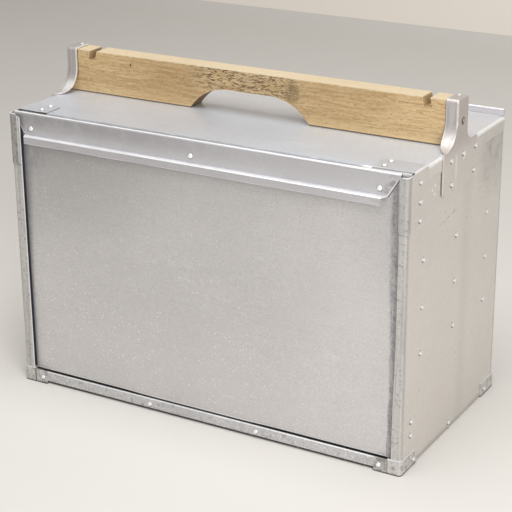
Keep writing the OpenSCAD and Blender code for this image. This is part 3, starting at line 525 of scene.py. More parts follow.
def sideFold(across, z, edgeX, edgeZ):   # painted highlight where the top turns down over a side
    return times(nearEdge(across, edgeX, topWear["foldX"]), nearEdge(z, edgeZ, topWear["foldZ"]), 0.55)


def topMarks(coords, x, y, z):
    across = magnitude(x)
    flange = nearEdge(across, topHigh.x, topWear["flange"])
    hem = times(flange, lineMask(z, sideHigh.z, topWear["hem"]), 0.15)
    # painted shade over the front fold, and a painted highlight on it towards the right end
    frontFold = times(nearEdge(y, topLow.y, topWear["frontY"]), nearEdge(z, sideHigh.z, topWear["frontZ"]))
    atRight = ramp(x, *topWear["brightX"])
    foldShade = times(frontFold, minus(1.0, atRight), 0.55)
    soiled = times(flange, ramp(y, *topWear["soiledY"]), 0.17)
    colour = tint(ramp(x, *topWear["rightX"]), topWear["front"], topWear["right"])
    colour = tint(ramp(y, barLow.y, barHigh.y), colour, topWear["rear"])
    return {"Tone": tint(flange, colour, sideLook["Tone"]),
            "Grime": strongest(hem, foldShade, soiled, bracketLine(x, y, z)),
            "Rubbed": strongest(nearEdge(z, topHigh.z, topWear["seam"], 0.6),
                                sideFold(across, z, topHigh.x, sideHigh.z), times(frontFold, atRight, 0.8))}


topSheet = sheetMaterial("topSheet", topLook, topMarks)

# sleeves: like the posts they wrap, darker in front partly as painted shade; the left one darker, with painted shade
# under its tab and in the folds; bright lower rims, painted highlights on the upper front rims, tab edge, leg line
# and side folds
sleeveLook = {"Tone": tone(216, 211, 206), "Cloud": 0.12, "Grit": 0.24, "Pits": 0.3}
sleeveWear = {"front": tone(192, 190, 187), "gap": tone(112, 110, 108), "frontY": mms(9.5, 3.4),
              "lowerRim": mms(1.2, 0.3), "upperRim": mms(-2.0, -1.3), "tabZ": mms(-1.6, -1.0),
              "tabY": (mms(-4, -2), mms(1.6, 0.4)), "gapZ": (mms(-2.4, -2.0), mms(-0.45, -0.7)),
              "gapY": mms(-1.0, -0.2), "leg": mms(-9.4, 0.6), "beyondLeg": mms(-9.6, -10.2),
              "cool": mms(-0.9, -0.2)}


def sleeveMarks(coords, x, y, z):
    across = magnitude(x)
    onLeft = onSide(x, 1.0, 0.0)
    front = nearEdge(y, sleeveLow.y, sleeveWear["frontY"])
    # painted shade in the fold to the side, and the left sleeve darker
    fold = nearEdge(across, sleeveHigh.x, postWear["fold"], 0.10)
    beyond = times(onLeft, nearEdge(across, sideHigh.x, sleeveWear["beyondLeg"], 0.45))
    soiled = plus(onSide(x, 0.40, 0.08), strongest(fold, beyond, postSmear(coords)), clamp=True)
    # painted highlights on the upper front rim, the right tab's front edge, the left leg's inner line and the side
    # folds; the lower rim bright
    rim = strongest(nearEdge(z, sleeveLow.z, sleeveWear["lowerRim"], 0.3),
                    times(front, nearEdge(z, sleeveHigh.z, sleeveWear["upperRim"], 0.8)))
    tab = times(nearEdge(z, sleeveHigh.z, sleeveWear["tabZ"]), span(y, topLow.y, sleeveWear["tabY"]),
                onSide(x, 0.0, 0.2))
    # painted shade under the left tab's front edge
    gap = times(onLeft, span(z, sleeveHigh.z, sleeveWear["gapZ"]), nearEdge(y, topLow.y, sleeveWear["gapY"]))
    legLine = lineMask(across, sideHigh.x, sleeveWear["leg"])
    cool = nearEdge(z, sleeveHigh.z, sleeveWear["cool"])
    colour = tint(cool, sleeveLook["Tone"], topWear["front"])
    # the front faces take a darker tone, partly painted shade, like the posts
    colour = tint(front, colour, sleeveWear["front"])
    return {"Tone": tint(gap, colour, sleeveWear["gap"]), "Satin": ramp(front, 0.0, 1.0, *postWear["satin"]),
            "Grime": times(front, soiled),
            "Rubbed": strongest(rim, tab, times(onLeft, front, legLine, 0.4),
                                sideFold(across, z, sleeveHigh.x, sleeveHigh.z))}


sleeveSheet = sheetMaterial("sleeveSheet", sleeveLook, sleeveMarks)

# bottom rail: pitted, a painted highlight along its rolled edge, painted shadow black along the floor
railLook = {"Tone": tone(199, 198, 198), "Dirt": tone(62, 58, 54), "Cloud": 0.20, "Grit": 0.65, "Pits": 1.0,
            "relief": 0.4}
railWear = {"floorLine": tone(34, 31, 29), "low": mms(2.0, 0.9), "roll": mms(-1.2, -0.6)}


def railMarks(coords, x, y, z):
    mottle = cloudField(coords, 150.0, 3.0, 0.65)
    # painted shadow, near black, along the floor
    low = nearEdge(z, railLow.z, railWear["low"])
    return {"Tone": tint(low, railLook["Tone"], railWear["floorLine"]),
            "Grime": strongest(ramp(mottle, 0.52, 0.68, 0.0, 0.34), times(low, 0.8)),
            # painted highlight along the rolled top edge
            "Rubbed": nearEdge(z, railHigh.z, railWear["roll"], 0.45)}


railSheet = sheetMaterial("railSheet", railLook, railMarks)

# corner caps: brown dirt round the rivets, darker along the joints, bright on the upper edges, painted shadow along
# the floor
capLook = {"Tone": tone(200, 198, 195), "Dirt": tone(80, 70, 58), "Cloud": 0.22, "Grit": 0.60, "Pits": 0.8,
           "relief": 0.4}
capWear = {"floorLine": tone(52, 47, 42), "low": mms(1.8, 0.7), "tab": mms(-16, -18), "joint": mms(-15.6, 1.1),
           "upper": mms(-1.3, -0.4)}


def capMarks(coords, x, y, z):
    across = magnitude(x)
    mottle = cloudField(coords, 170.0, 3.0, 0.65)
    tab = nearEdge(across, capHigh.x, capWear["tab"], 0.65)
    joint = times(lineMask(across, capHigh.x, capWear["joint"]), 0.75)
    # painted shadow, dark along the floor
    low = ramp(z, *capWear["low"])
    return {"Tone": tint(low, capLook["Tone"], capWear["floorLine"]),
            "Grime": strongest(ramp(mottle, 0.50, 0.68, 0.0, 0.48), times(low, 0.7), joint,
                               times(tab, ramp(mottle, 0.42, 0.66))),
            "Rubbed": nearEdge(z, capHigh.z, capWear["upper"], 0.5)}


capSheet = sheetMaterial("capSheet", capLook, capMarks)

# grip strip: painted highlights on its rolled top, the step above the finger lip and the lip's hem, rubbed bright at
# its ends; painted shade darker upwards and to the left; soiled towards the ends
stripLook = {"Tone": tone(202, 200, 203), "Dirt": tone(94, 90, 84), "Metal": 0.65, "Cloud": 0.08, "Grit": 0.16,
             "Pits": 0.25, "Satin": 0.40}
stripWear = {"roll": mms(-0.8, -0.3), "step": (mms(-0.9, -0.3), mms(1.0, 0.4)), "stepY": mms(7.4, 5.6),
             "hem": mms(0.8, 0.3), "upperFrom": 2 * mm, "upperTo": 6 * mm, "upperX": mms(220, -220),
             "lipZ": mms(-0.6, -1.4), "lipX": mms(220, 0), "endEdge": mms(-1.3, -0.5), "endZ": mms(0, 1),
             "soiled": mms(-15, -2), "soiledZ": mms(0, 4)}


def stripMarks(coords, x, y, z):
    outside = stripEnd(x, z)
    # painted highlights on the rolled top, the step above the finger lip and the lip's hem
    roll = nearEdge(z, stripHigh.z, stripWear["roll"], 0.8)
    step = times(span(z, stepZ, stripWear["step"]), nearEdge(y, stripLow.y, stripWear["stepY"]), 0.9)
    hem = nearEdge(z, stripLow.z, stripWear["hem"], 0.35)
    ends = times(ramp(outside, *stripWear["endEdge"], 0.0, 0.7), nearEdge(z, stepZ, stripWear["endZ"]))
    scrape = ramp(streakField(coords, (18, 300, 300)), 0.62, 0.72, 0.0, 0.2)
    # painted shade: the face darker upwards and towards the left, the lip darker towards the left
    upper = times(ramp(z, stepZ - stripWear["upperFrom"], stripHigh.z - stripWear["upperTo"], 0.0, 0.27),
                  ramp(x, *stripWear["upperX"], 0.25, 1.8))
    lip = times(nearEdge(z, stepZ, stripWear["lipZ"]), ramp(x, *stripWear["lipX"], 0.05, 0.16))
    soiled = times(ramp(outside, *stripWear["soiled"]), nearEdge(z, stepZ, stripWear["soiledZ"]),
                   ramp(cloudField(coords, 130.0, 3.0, 0.65), 0.42, 0.60, 0.0, 0.55))
    return {"Grime": strongest(scrape, upper, lip, soiled), "Rubbed": strongest(roll, step, hem, ends)}


stripSheet = sheetMaterial("stripSheet", stripLook, stripMarks)

# brackets: plates dull like the side, painted shadow black in the screw hole, painted reflection streaks on the
# flanges; painted highlights on the inner edges, the left one's bend and the right one's pressed line and dimples;
# painted shade on the left one's outer bend
bracketLook = {"Dirt": tone(84, 83, 84), "Metal": 0.7, "Cloud": 0.10, "Grit": 0.16}
bracketWear = {"bar": tone(196, 189, 185), "hole": tone(14, 14, 15), "barZ": mms(303, 328), "satin": (0.46, 0.50),
               "wrap": mms(-1.0, -3.0), "edge": mms(1.4, 0.5), "bendZ": mms(323, 8), "bendX": mms(-3, -5),
               "line": mms(-3.6, 1.0), "pressY": mms(-12, 2.8), "pressZ": (mms(280, 288), mms(313, 306)),
               "dimples": [mms(5, 305.7), mms(33.7, 280.5)], "dimpleOuter": 6 * mm, "dimpleInner": 4 * mm,
               "dimpleFade": 2 * mm}
screwSpot = {"centre": mms(2, 340.5), "hole": 4.0 * mm, "holeShift": mms(-0.8, 0), "face": 2.2 * mm,
             "faceShift": mms(1.7, 0.3), "headTop": mms(352, 348)}


def screwMask(y, z, shift, radius):
    centre = (screwSpot["centre"][0] + shift[0], screwSpot["centre"][1] + shift[1])
    return spotMask(y, z, centre, radius)


def dimpleArc(y, z, spot):   # painted highlight: a bright arc under a rivet's dimple
    fade = bracketWear["dimpleFade"]
    ring = minus(spotMask(y, z, spot, bracketWear["dimpleOuter"]), spotMask(y, z, spot, bracketWear["dimpleInner"]),
                 clamp=True)
    return times(ring, ramp(z, spot[1] + fade, spot[1] - fade), ramp(y, spot[0] - fade, spot[0] + fade), 1.2)


def bracketMarks(coords, x, y, z):
    across = magnitude(x)
    onLeft, onRight = onSide(x, 1.0, 0.0), onSide(x, 0.0, 1.0)
    up = ramp(z, *bracketWear["barZ"])
    wrapped = nearEdge(across, plateHigh.x, bracketWear["wrap"])
    # painted reflection: upright streaks on the flanges round the bar
    reflectionStreaks = times(wrapped, ramp(streakField(coords, (240, 240, 16)), 0.46, 0.70, 0.0, 0.30))
    # painted shadow, near black, in the screw hole
    hole = screwMask(y, z, screwSpot["holeShift"], screwSpot["hole"])
    # painted highlights: the right plate's pressed line and dimples, the inner edges, the left one's bend
    press = times(lineMask(y, 0.0, bracketWear["pressY"]), span(z, 0.0, bracketWear["pressZ"]), 0.4)
    dimples = (dimpleArc(y, z, spot) for spot in bracketWear["dimples"])
    edge = times(nearEdge(across, plateLow.x, bracketWear["edge"]), onSide(x, 0.8, 0.25))
    bend = times(onLeft, lineMask(z, 0.0, bracketWear["bendZ"]),
                 nearEdge(across, plateHigh.x, bracketWear["bendX"]), 0.42)
    # painted shade along the left bracket's outer bend
    outer = times(onLeft, lineMask(across, plateHigh.x, bracketWear["line"]), up, 0.4)
    colour = tint(up, sideLook["Tone"], bracketWear["bar"])
    return {"Tone": tint(hole, colour, bracketWear["hole"]), "Grime": strongest(reflectionStreaks, outer),
            "Satin": ramp(z, *bracketWear["barZ"], *bracketWear["satin"]),
            "Rubbed": strongest(edge, bend, times(onRight, strongest(press, *dimples)))}


bracketSheet = sheetMaterial("bracketSheet", bracketLook, bracketMarks)

# rivets: painted highlight on the domes, dirt round the rim and painted shade on the lower side; the mesh carries
# both places as attributes
rivetLook = {"Tone": tone(224, 223, 221), "Dirt": tone(66, 62, 60), "Metal": 0.55, "Cloud": 0.03, "Grit": 0.06,
             "Pits": 0.0, "Scuffs": 0.0, "Satin": 0.34, "relief": 0.0}
rivetWear = {"rim": (0.80, 0.97), "below": (0.30, 0.75), "dome": (0.75, 0.35), "lean": 0.6}


def rivetMarks(coords, x, y, z):
    rim = addNode(coords.id_data, "Attribute", attribute_name="rim").outputs["Fac"]
    below = addNode(coords.id_data, "Attribute", attribute_name="below").outputs["Fac"]
    # dirt round the rim, painted shade on the lower side of each head, a painted highlight on the dome
    return {"Grime": strongest(ramp(rim, *rivetWear["rim"], 0.0, 0.60),
                               ramp(below, *rivetWear["below"], 0.0, 0.76)),
            "Rubbed": ramp(rim, *rivetWear["dome"], 0.0, 0.7)}


rivetMetal = sheetMaterial("rivetMetal", rivetLook, rivetMarks)

# rear sheet: like the sides, its standing seam rubbed bright
rearLook = {"Tone": tone(213, 209, 204), "Cloud": 0.08, "Scuffs": 0.8}
rearWear = {"seam": tone(206, 205, 210), "seamFoot": mms(0.5, 1.5), "seamTop": mms(-1.4, -0.5)}


def rearMarks(coords, x, y, z):
    seam = nearEdge(z, sideHigh.z, rearWear["seamFoot"])
    return {"Tone": tint(seam, rearLook["Tone"], rearWear["seam"]),
            "Grime": nearEdge(z, sideLow.z, sideWear["foot"], 0.30),
            "Rubbed": nearEdge(z, rearHigh.z, rearWear["seamTop"], 0.5)}


rearSheet = sheetMaterial("rearSheet", rearLook, rearMarks)
innerSheet = sheetMaterial("innerSheet", {"Tone": tone(200, 198, 195), "Cloud": 0.12, "Pits": 0.4})

# screws in the bar's ends, painted shade black round their heads, and pale nails
screwLook = {"Tone": tone(234, 233, 231), "Dirt": tone(24, 23, 22), "Metal": 0.6, "Cloud": 0.12, "Satin": 0.36}


def screwMarks(coords, x, y, z):
    face = screwMask(y, z, screwSpot["faceShift"], screwSpot["face"])
    # painted shade: dark round the head, except its lit face
    return {"Grime": times(minus(1.0, face), ramp(z, *screwSpot["headTop"]))}


screwSteel = sheetMaterial("screwSteel", screwLook, screwMarks)
print("metal finishes made")

# carrying bar: honey wood, worn grey and cracked over the hand hold, painted shade under the hand hold, painted
# shadow dark where it meets the metal, its top paler, partly painted light
barTones = {"honey": tone(181, 150, 104), "pale": tone(203, 177, 134), "brown": tone(146, 115, 73),
            "pore": tone(92, 70, 44), "weathered": tone(172, 154, 122), "stain": tone(112, 91, 62),
            "upper": tone(212, 196, 166), "joint": tone(40, 31, 24), "rust": tone(104, 50, 20)}
barGrain = {"sway": 10 * mm, "growth": (3, 70, 150), "fibre": (24, 330, 460), "fleck": (150, 420, 420),
            "fleckTurn": (0.0, 0.3, 0.0), "pores": (150, 620, 800), "haze": (40, 60, 110), "cracks": (84, 200, 400),
            "dashes": (130, 200, 300), "relief": 0.5, "reliefDepth": 0.4 * mm}
barWear = {"skin": mms(0.3, 1.2), "brownLeft": (mms(-180, -110), mms(-40, -80)),
           "brownRight": (mms(20, 80), mms(190, 110)), "bandZ": mms(17, 12), "bandX": mms(100, -100),
           "foot": mms(13, 4), "footRim": mms(4, 2), "worn": (mms(-90, -45), mms(78, 38)), "wornZ": mms(-33, -14),
           "stain": mms(50, 347), "stainRadius": 9 * mm, "stainSqueeze": 0.7,
           "notchX": (mms(194.1, 194.7), mms(209.4, 209.0)), "notchZ": (mms(-10.6, -10), mms(-0.3, -1.2)),
           "gripX": mms(85, 83), "gripZ": mms(-14, -18), "nailHole": mms(-152.3, 352.5), "nailRadius": 1.2 * mm,
           "nailSqueeze": 0.6, "fray": 2.4 * mm, "top": mms(-1.2, -0.2), "floorJoint": mms(1.6, 0.7),
           "plateJoint": mms(-0.5, 1.0), "plateZ": mms(328, 336)}
barBoard = {"edge": 0.6 * mm}


def woodGrain(coords, x, y, z):
    wave = plus(z, times(cloudField(coords, 9.0, 2.0), barGrain["sway"]))
    along = addNode(coords.id_data, "CombineXYZ", {"X": x, "Y": y, "Z": wave}).outputs[0]
    flecked = stretched(along, barGrain["fleck"], barGrain["fleckTurn"])
    return {"along": along, "growth": streakField(along, barGrain["growth"], 3.0, 0.5),
            "fibre": streakField(along, barGrain["fibre"], 4.0, 0.7), "fleck": cloudField(flecked, 1.0, 2.0, 0.6),
            "pore": ramp(streakField(along, barGrain["pores"], 3.0, 0.7), 0.54, 0.68)}


def cleanWood(x, z, grain):   # browner to both sides of the hand hold, paler at the foot
    colour = tint(ramp(grain["growth"], 0.36, 0.70, 0.0, 0.5), barTones["honey"], barTones["brown"])
    colour = tint(ramp(grain["fibre"], 0.38, 0.64, 0.0, 0.85), colour, barTones["pale"])
    colour = tint(ramp(grain["fleck"], 0.52, 0.64, 0.0, 0.6), colour, barTones["pale"])
    colour = tint(times(grain["pore"], 0.46), colour, barTones["pore"])
    band = lineMask(z, barLow.z, barWear["bandZ"])
    shaded = strongest(times(span(x, 0.0, barWear["brownLeft"]), 0.34),
                       times(span(x, 0.0, barWear["brownRight"]), 0.30),
                       times(band, ramp(x, *barWear["bandX"]), 0.18))
    colour = tint(shaded, colour, barTones["brown"])
    foot = strongest(nearEdge(z, barLow.z, barWear["foot"], 0.25), nearEdge(z, barLow.z, barWear["footRim"], 0.7))
    return tint(foot, colour, barTones["pale"])


def wornWood(coords, x, z, grain, inFront, colour):   # grey haze, dark cracks and a stain
    worn = times(span(x, 0.0, barWear["worn"]), nearEdge(z, barHigh.z, barWear["wornZ"], start=0.15))
    haze = times(worn, ramp(streakField(coords, barGrain["haze"]), 0.32, 0.56), 0.40)
    colour = tint(haze, colour, barTones["weathered"])
    lines = magnitude(minus(streakField(grain["along"], barGrain["cracks"], 2.0, 0.6), 0.5))
    dashes = ramp(streakField(grain["along"], barGrain["dashes"], 1.0), 0.38, 0.50)
    crack = times(ramp(lines, 0.072, 0.024), dashes, worn, inFront)
    colour = tint(times(crack, 0.92), colour, barTones["pore"])
    stain = tallSpot(x, z, barWear["stain"], barWear["stainRadius"], barWear["stainSqueeze"])
    stain = times(stain, ramp(grain["fibre"], 0.3, 0.6, 0.2, 0.6))
    return tint(stain, colour, barTones["stain"]), worn, crack


def markedWood(x, y, z, grain, inFront, colour):   # notches, painted shade in the hand hold, nail hole, a top partly painted light, painted shadow at the joints
    across = magnitude(x)
    near, far = barWear["skin"]
    between = times(nearEdge(y, barLow.y, (near, far)), nearEdge(y, barHigh.y, (-near, -far)))
    notch = times(span(across, 0.0, barWear["notchX"]), span(z, barHigh.z, barWear["notchZ"]), 0.3)
    grip = times(ramp(across, *barWear["gripX"]), nearEdge(z, barHigh.z, barWear["gripZ"]), 0.8)
    # darker inside the notches; painted shade on the hand hold's cut faces
    colour = tint(times(strongest(notch, grip), between), colour, barTones["pore"])
    hole = tallSpot(x, z, barWear["nailHole"], barWear["nailRadius"], barWear["nailSqueeze"])
    hole = times(hole, inFront)
    colour = tint(times(hole, 0.9), colour, barTones["rust"])
    # the top face and top edge paler: wear, partly painted light from above
    frayed = plus(z, swing(grain["fleck"], barWear["fray"]))
    top = times(nearEdge(frayed, barHigh.z, barWear["top"]), ramp(grain["fibre"], 0.30, 0.56, 0.95, 0.7))
    colour = tint(top, colour, barTones["upper"])
    # painted shadow: dark lines where the bar sits on the top and beside the brackets' flanges
    plateLine = lineMask(across, plateLow.x, barWear["plateJoint"])
    joint = strongest(nearEdge(z, barLow.z, barWear["floorJoint"], 0.85),
                      times(plateLine, ramp(z, *barWear["plateZ"]), 0.7))
    return tint(joint, colour, barTones["joint"]), hole


def barWoodMaterial():
    material, shader, coords, place = newMaterial("barWood")
    x, y, z = place["X"], place["Y"], place["Z"]
    grain = woodGrain(coords, x, y, z)
    inFront = nearEdge(y, barLow.y, barWear["skin"][::-1])
    colour = cleanWood(x, z, grain)
    colour, worn, crack = wornWood(coords, x, z, grain, inFront, colour)
    colour, hole = markedWood(x, y, z, grain, inFront, colour)
    feed(shader.inputs["Base Color"], colour)
    rough = plus(0.62, swing(grain["fibre"], 0.3))
    feed(shader.inputs["Roughness"], plus(rough, times(worn, 0.12)))
    height = minus(times(grain["fibre"], 0.5), strongest(grain["pore"], crack, hole))
    bumped(shader, height, barGrain["relief"], barGrain["reliefDepth"])
    return material


barWood = barWoodMaterial()


def buildBar(board):
    mesh = easedMesh("carrying_bar", board["edge"])
    makePiece("barBoard", mesh, "carrying_bar", barWood)


buildBar(barBoard)
print("bar made")

# brackets: the edges of the pressed sheet eased
bracketPress = {"edge": 0.3 * mm}


def buildBracket(side, press):
    mesh = easedMesh(side + "_bracket", press["edge"])
    makePiece(side + "BracketPress", mesh, side + "_bracket", bracketSheet)


for side in ("left", "right"):
    buildBracket(side, bracketPress)
print("brackets made")

# sheets with the slow buckles of thin metal, flat again at their rims
sheetBuckle = {"pitch": 14 * mm, "rim": 22 * mm}
sideForm = {"edge": 0.2 * mm, "depth": 0.35 * mm, "waveY": 14, "waveZ": 8, "seed": 3, "crease": 0.25 * mm,
            "flatFront": 4 * mm, "overSleeve": 20 * mm}
doorForm = {"edge": 0.25 * mm, "depth": 0.40 * mm, "waveX": 7, "waveZ": 9, "seed": 5, "flatTop": 20 * mm,
            "sag": 0.9 * mm, "sagX": -12 * mm, "sagHalf": 95 * mm, "sagCore": 0.6, "sagRise": 4 * mm}
topForm = {"edge": 0.2 * mm, "depth": 0.45 * mm, "waveX": 8, "waveY": 10, "seed": 2, "sink": 0.4}
lipForm = {"edge": 0.25 * mm, "pitch": 8 * mm, "back": 1.2 * mm, "front": 1 * mm, "rise": 4 * mm,
           "inward": 0.6 * mm, "inwardWave": 17, "inwardSeed": 8, "upward": 0.5 * mm, "upwardWave": 23,
           "upwardSeed": 3}


def rimFade(value, low, high):
    return ease(value, low, low + sheetBuckle["rim"]) * ease(value, high, high - sheetBuckle["rim"])


def trimAt(z):   # how far the right post's inner edge is cut back
    return postTrim["low"] + (postTrim["high"] - postTrim["low"]) * ease(z, postTrim["from"], postTrim["to"])


def buildSide(side, form):
    mesh = easedMesh(side + "_side_panel", form["edge"], 1)
    sliceAlong(mesh, "Y", sideLow.y, sideHigh.y, sheetBuckle["pitch"] / 2)
    sliceAlong(mesh, "Z", sideLow.z, sideHigh.z, sheetBuckle["pitch"])
    hand = 1 if side == "right" else -1
    postBack, postInner = sideLow.y + postTrim["skin"], sideHigh.x - postTrim["fixed"]
    for vert in mesh.verts:
        fade = rimFade(vert.co.y, sideLow.y + form["flatFront"], sideHigh.y)
        fade *= rimFade(vert.co.z, sideLow.z, sleeveLow.z + form["overSleeve"])
        wave = noise.noise(Vector((hand * form["seed"], vert.co.y * form["waveY"], vert.co.z * form["waveZ"])))
        fold = (vert.co.y - sideWear["creaseY"]) / sideWear["creaseHalf"]
        vert.co.x += hand * fade * (wave * form["depth"] - form["crease"] * math.exp(-fold * fold))
        if side == "right" and vert.co.y < postBack and vert.co.x < postInner:
            vert.co.x += trimAt(vert.co.z)
    makePiece(side + "SideSheet", mesh, side + "_side_panel", sideSheet)


def buildDoor(form):
    mesh = easedMesh("door_panel", form["edge"])
    sliceAlong(mesh, "X", doorLow.x, doorHigh.x, sheetBuckle["pitch"])
    sliceAlong(mesh, "Z", doorLow.z, doorHigh.z, sheetBuckle["pitch"])
    for vert in mesh.verts:
        fade = rimFade(vert.co.x, doorLow.x, doorHigh.x)
        fade *= rimFade(vert.co.z, doorLow.z, doorHigh.z - form["flatTop"])
        wave = noise.noise(Vector((vert.co.x * form["waveX"], form["seed"], vert.co.z * form["waveZ"])))
        vert.co.y += fade * wave * form["depth"]
        sag = 1 - ease(abs(vert.co.x - form["sagX"]), form["sagCore"] * form["sagHalf"], form["sagHalf"])
        vert.co.z -= sag * form["sag"] * ease(vert.co.z, doorLow.z + form["sagRise"], doorLow.z)
    makePiece("doorFace", mesh, "door_panel", doorSheet)


def buildTop(form):
    mesh = easedMesh("top_panel", form["edge"], 1)
    sliceAlong(mesh, "X", topLow.x, topHigh.x, sheetBuckle["pitch"])
    sliceAlong(mesh, "Y", topLow.y, topHigh.y, sheetBuckle["pitch"])
    for vert in mesh.verts:
        fade = rimFade(vert.co.x, topLow.x, topHigh.x) * rimFade(vert.co.y, topLow.y, topHigh.y)
        wave = noise.noise(Vector((vert.co.x * form["waveX"], vert.co.y * form["waveY"], form["seed"])))
        vert.co.z += fade * (wave - form["sink"]) * form["depth"]
    makePiece("topSheetFace", mesh, "top_panel", topSheet)


def buildStrip(form):
    mesh = easedMesh("grip_strip", form["edge"])
    sliceAlong(mesh, "X", stripLow.x, stripHigh.x, form["pitch"])
    for vert in mesh.verts:
        out = ease(vert.co.y, doorLow.y - form["back"], stripLow.y + form["front"])
        out *= ease(vert.co.z, stepZ + form["rise"], stepZ)
        inward = 0.5 + 0.5 * noise.noise(Vector((vert.co.x * form["inwardWave"], form["inwardSeed"], 0.0)))
        upward = noise.noise(Vector((vert.co.x * form["upwardWave"], form["upwardSeed"], 0.0)))
        vert.co.y += out * max(inward, 0.0) * form["inward"]
        vert.co.z += out * upward * form["upward"]
    makePiece("gripStripFold", mesh, "grip_strip", stripSheet)


for side in ("left", "right"):
    buildSide(side, sideForm)
buildDoor(doorForm)
buildTop(topForm)
buildStrip(lipForm)
print("sheets made")

# folded corner pieces with worn edges
wornEdge = 0.3 * mm
wornPieces = {"bottom_rail": railSheet, "front_left_cap": capSheet, "front_right_cap": capSheet,
              "rear_left_cap": capSheet, "rear_right_cap": capSheet}
sleeveTab = {"edge": 0.3 * mm, "pitch": 0.5 * mm, "bend": 2.8 * mm, "drop": 0.9 * mm, "thick": 1.4 * mm,
             "ahead": 0.4 * mm, "inner": 230 * mm, "outer": 234 * mm}


def pieceName(nodeName, ending):
    words = nodeName.split("_")
    return words[0] + "".join(w.capitalize() for w in words[1:]) + ending


for nodeName, finish in wornPieces.items():
    makePiece(pieceName(nodeName, "Worn"), easedMesh(nodeName, wornEdge), nodeName, finish)


def buildSleeve(side, tab):   # the tab's front edge is pressed down over the fold of the top
    mesh = easedMesh(side + "_corner_sleeve", tab["edge"])
    sliceAlong(mesh, "Y", topLow.y, topLow.y + tab["bend"], tab["pitch"])
    legBack, legInner = sleeveLow.y + postTrim["skin"], sleeveHigh.x - postTrim["sleeveFixed"]
    for vert in mesh.verts:
        if vert.co.z > sleeveHigh.z - tab["thick"] and vert.co.y > topLow.y - tab["ahead"]:
            near = ease(vert.co.y, topLow.y + tab["bend"], topLow.y)
            vert.co.z -= near * ease(abs(vert.co.x), tab["outer"], tab["inner"]) * tab["drop"]
        if side == "right" and vert.co.y < legBack and vert.co.x < legInner:
            vert.co.x += postTrim["sleeve"]
    makePiece(side + "SleeveWorn", mesh, side + "_corner_sleeve", sleeveSheet)


for side in ("left", "right"):
    buildSleeve(side, sleeveTab)
print("corner pieces made")


# rivets
def loosePart(start):
    found, todo = {start}, [start]
    while todo:
        for edge in todo.pop().link_edges:
            for vert in edge.verts:
                if vert not in found:
                    found.add(vert)
                    todo.append(vert)
    return found


def buildRivets(nodeName):
    mesh = mergedMesh(nodeName)
    rim = mesh.verts.layers.float.new("rim")
    below = mesh.verts.layers.float.new("below")
    left = set(mesh.verts)
    while left:
        part = loosePart(next(iter(left)))
        left -= part
        faces = {f for v in part for f in v.link_faces}
        axis = max(faces, key=lambda f: f.calc_area()).normal
        middle = sum((v.co for v in part), Vector()) / len(part)
        spread = {v: v.co - middle - axis * axis.dot(v.co - middle) for v in part}
        widest = max(offset.length for offset in spread.values())
        for vert, offset in spread.items():
            vert[rim] = offset.length / widest
            # the lower side of each head, where shade is painted
            vert[below] = max(0.0, -offset.z - rivetWear["lean"] * offset.y) / widest
    makePiece(pieceName(nodeName, "Set"), mesh, nodeName, rivetMetal)


for nodeName in nodes:
    if nodeName.endswith("rivets"):
        buildRivets(nodeName)
print("rivets made")

# finishes on the nodes that stay as they are
nodeFinishes = {"bar_screws": screwSteel, "bar_nails": screwSteel, "rear_panel": rearSheet}
for nodeName, node in nodes.items():
    node.data.materials.clear()
    node.data.materials.append(nodeFinishes.get(nodeName, innerSheet))
print("inner nodes finished")

# floor, backdrop and light
studio = {"halfWidth": 4.0, "front": -4.0, "wall": 2.0, "height": 3.2, "cove": 0.4, "coveSteps": 12,
          "wallFrom": 0.02, "floor": tone(210, 207, 202), "backdrop": tone(234, 227, 217), "shade": 0.97,
          "cloudScale": 3.0, "roughness": 0.85, "specular": 0.15, "sky": tone(252, 251, 250), "world": 0.36}
lamps = [
    {"name": "ceilingLamp", "place": (0.1, -0.5, 2.3), "aim": (0.0, 0.0, 0.1), "size": 2.0, "power": 47.0},
    {"name": "windowLamp", "place": (1.4, -1.4, 0.9), "aim": (0.1, 0.0, 0.15), "size": 1.0, "power": 25.4},
]


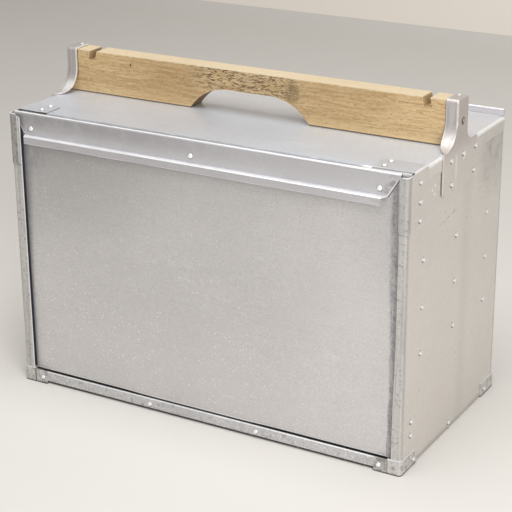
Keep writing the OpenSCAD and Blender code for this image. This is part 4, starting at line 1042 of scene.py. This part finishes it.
def stageMaterial(name, colour, room):
    material, shader, coords, _ = newMaterial(name)
    soft = cloudField(coords, room["cloudScale"], 3.0)
    shaded = tuple(room["shade"] * c for c in colour[:3]) + (1.0,)
    feed(shader.inputs["Base Color"], tint(soft, shaded, colour))
    feed(shader.inputs["Roughness"], room["roughness"])
    feed(shader.inputs["Specular IOR Level"], room["specular"])
    return material


def buildStudio(room):
    mesh = bmesh.new()
    ends = [mesh.verts.new((s * room["halfWidth"], room["front"], 0)) for s in (-1, 1)]
    edge = mesh.edges.new(ends)
    for run in ((0, room["wall"] - room["front"], 0), (0, 0, room["height"])):
        grown = bmesh.ops.extrude_edge_only(mesh, edges=[edge])["geom"]
        edge = next(g for g in grown if isinstance(g, bmesh.types.BMEdge))
        bmesh.ops.translate(mesh, verts=edge.verts[:], vec=run)
    corner = [e for e in mesh.edges if len(e.link_faces) == 2]
    easeEdges(mesh, corner, room["cove"], room["coveSteps"])
    bmesh.ops.recalc_face_normals(mesh, faces=mesh.faces)
    for face in mesh.faces:
        face.smooth = True
        face.material_index = int(face.calc_center_median().z > room["wallFrom"])
    data = bpy.data.meshes.new("studioFloor")
    mesh.to_mesh(data)
    mesh.free()
    data.materials.append(stageMaterial("floorPaint", room["floor"], room))
    data.materials.append(stageMaterial("wallPaint", room["backdrop"], room))
    floor = addObject("studioFloor", data)


def lightRoom(room):
    world = bpy.data.worlds.new("roomLight")
    world.use_nodes = True
    sky = world.node_tree.nodes["Background"].inputs
    feed(sky["Color"], room["sky"])
    feed(sky["Strength"], room["world"])
    bpy.context.scene.world = world


def hangLamp(lamp):
    data = bpy.data.lights.new(lamp["name"], "AREA")
    data.shape = "SQUARE"
    data.size = lamp["size"]
    data.energy = lamp["power"]
    light = addObject(lamp["name"], data)
    light.location = lamp["place"]
    aim = Vector(lamp["aim"]) - Vector(lamp["place"])
    light.rotation_euler = aim.to_track_quat("-Z", "Y").to_euler()


buildStudio(studio)
lightRoom(studio)
for lamp in lamps:
    hangLamp(lamp)
bpy.context.scene.view_settings.view_transform = "Standard"
print("studio lit")
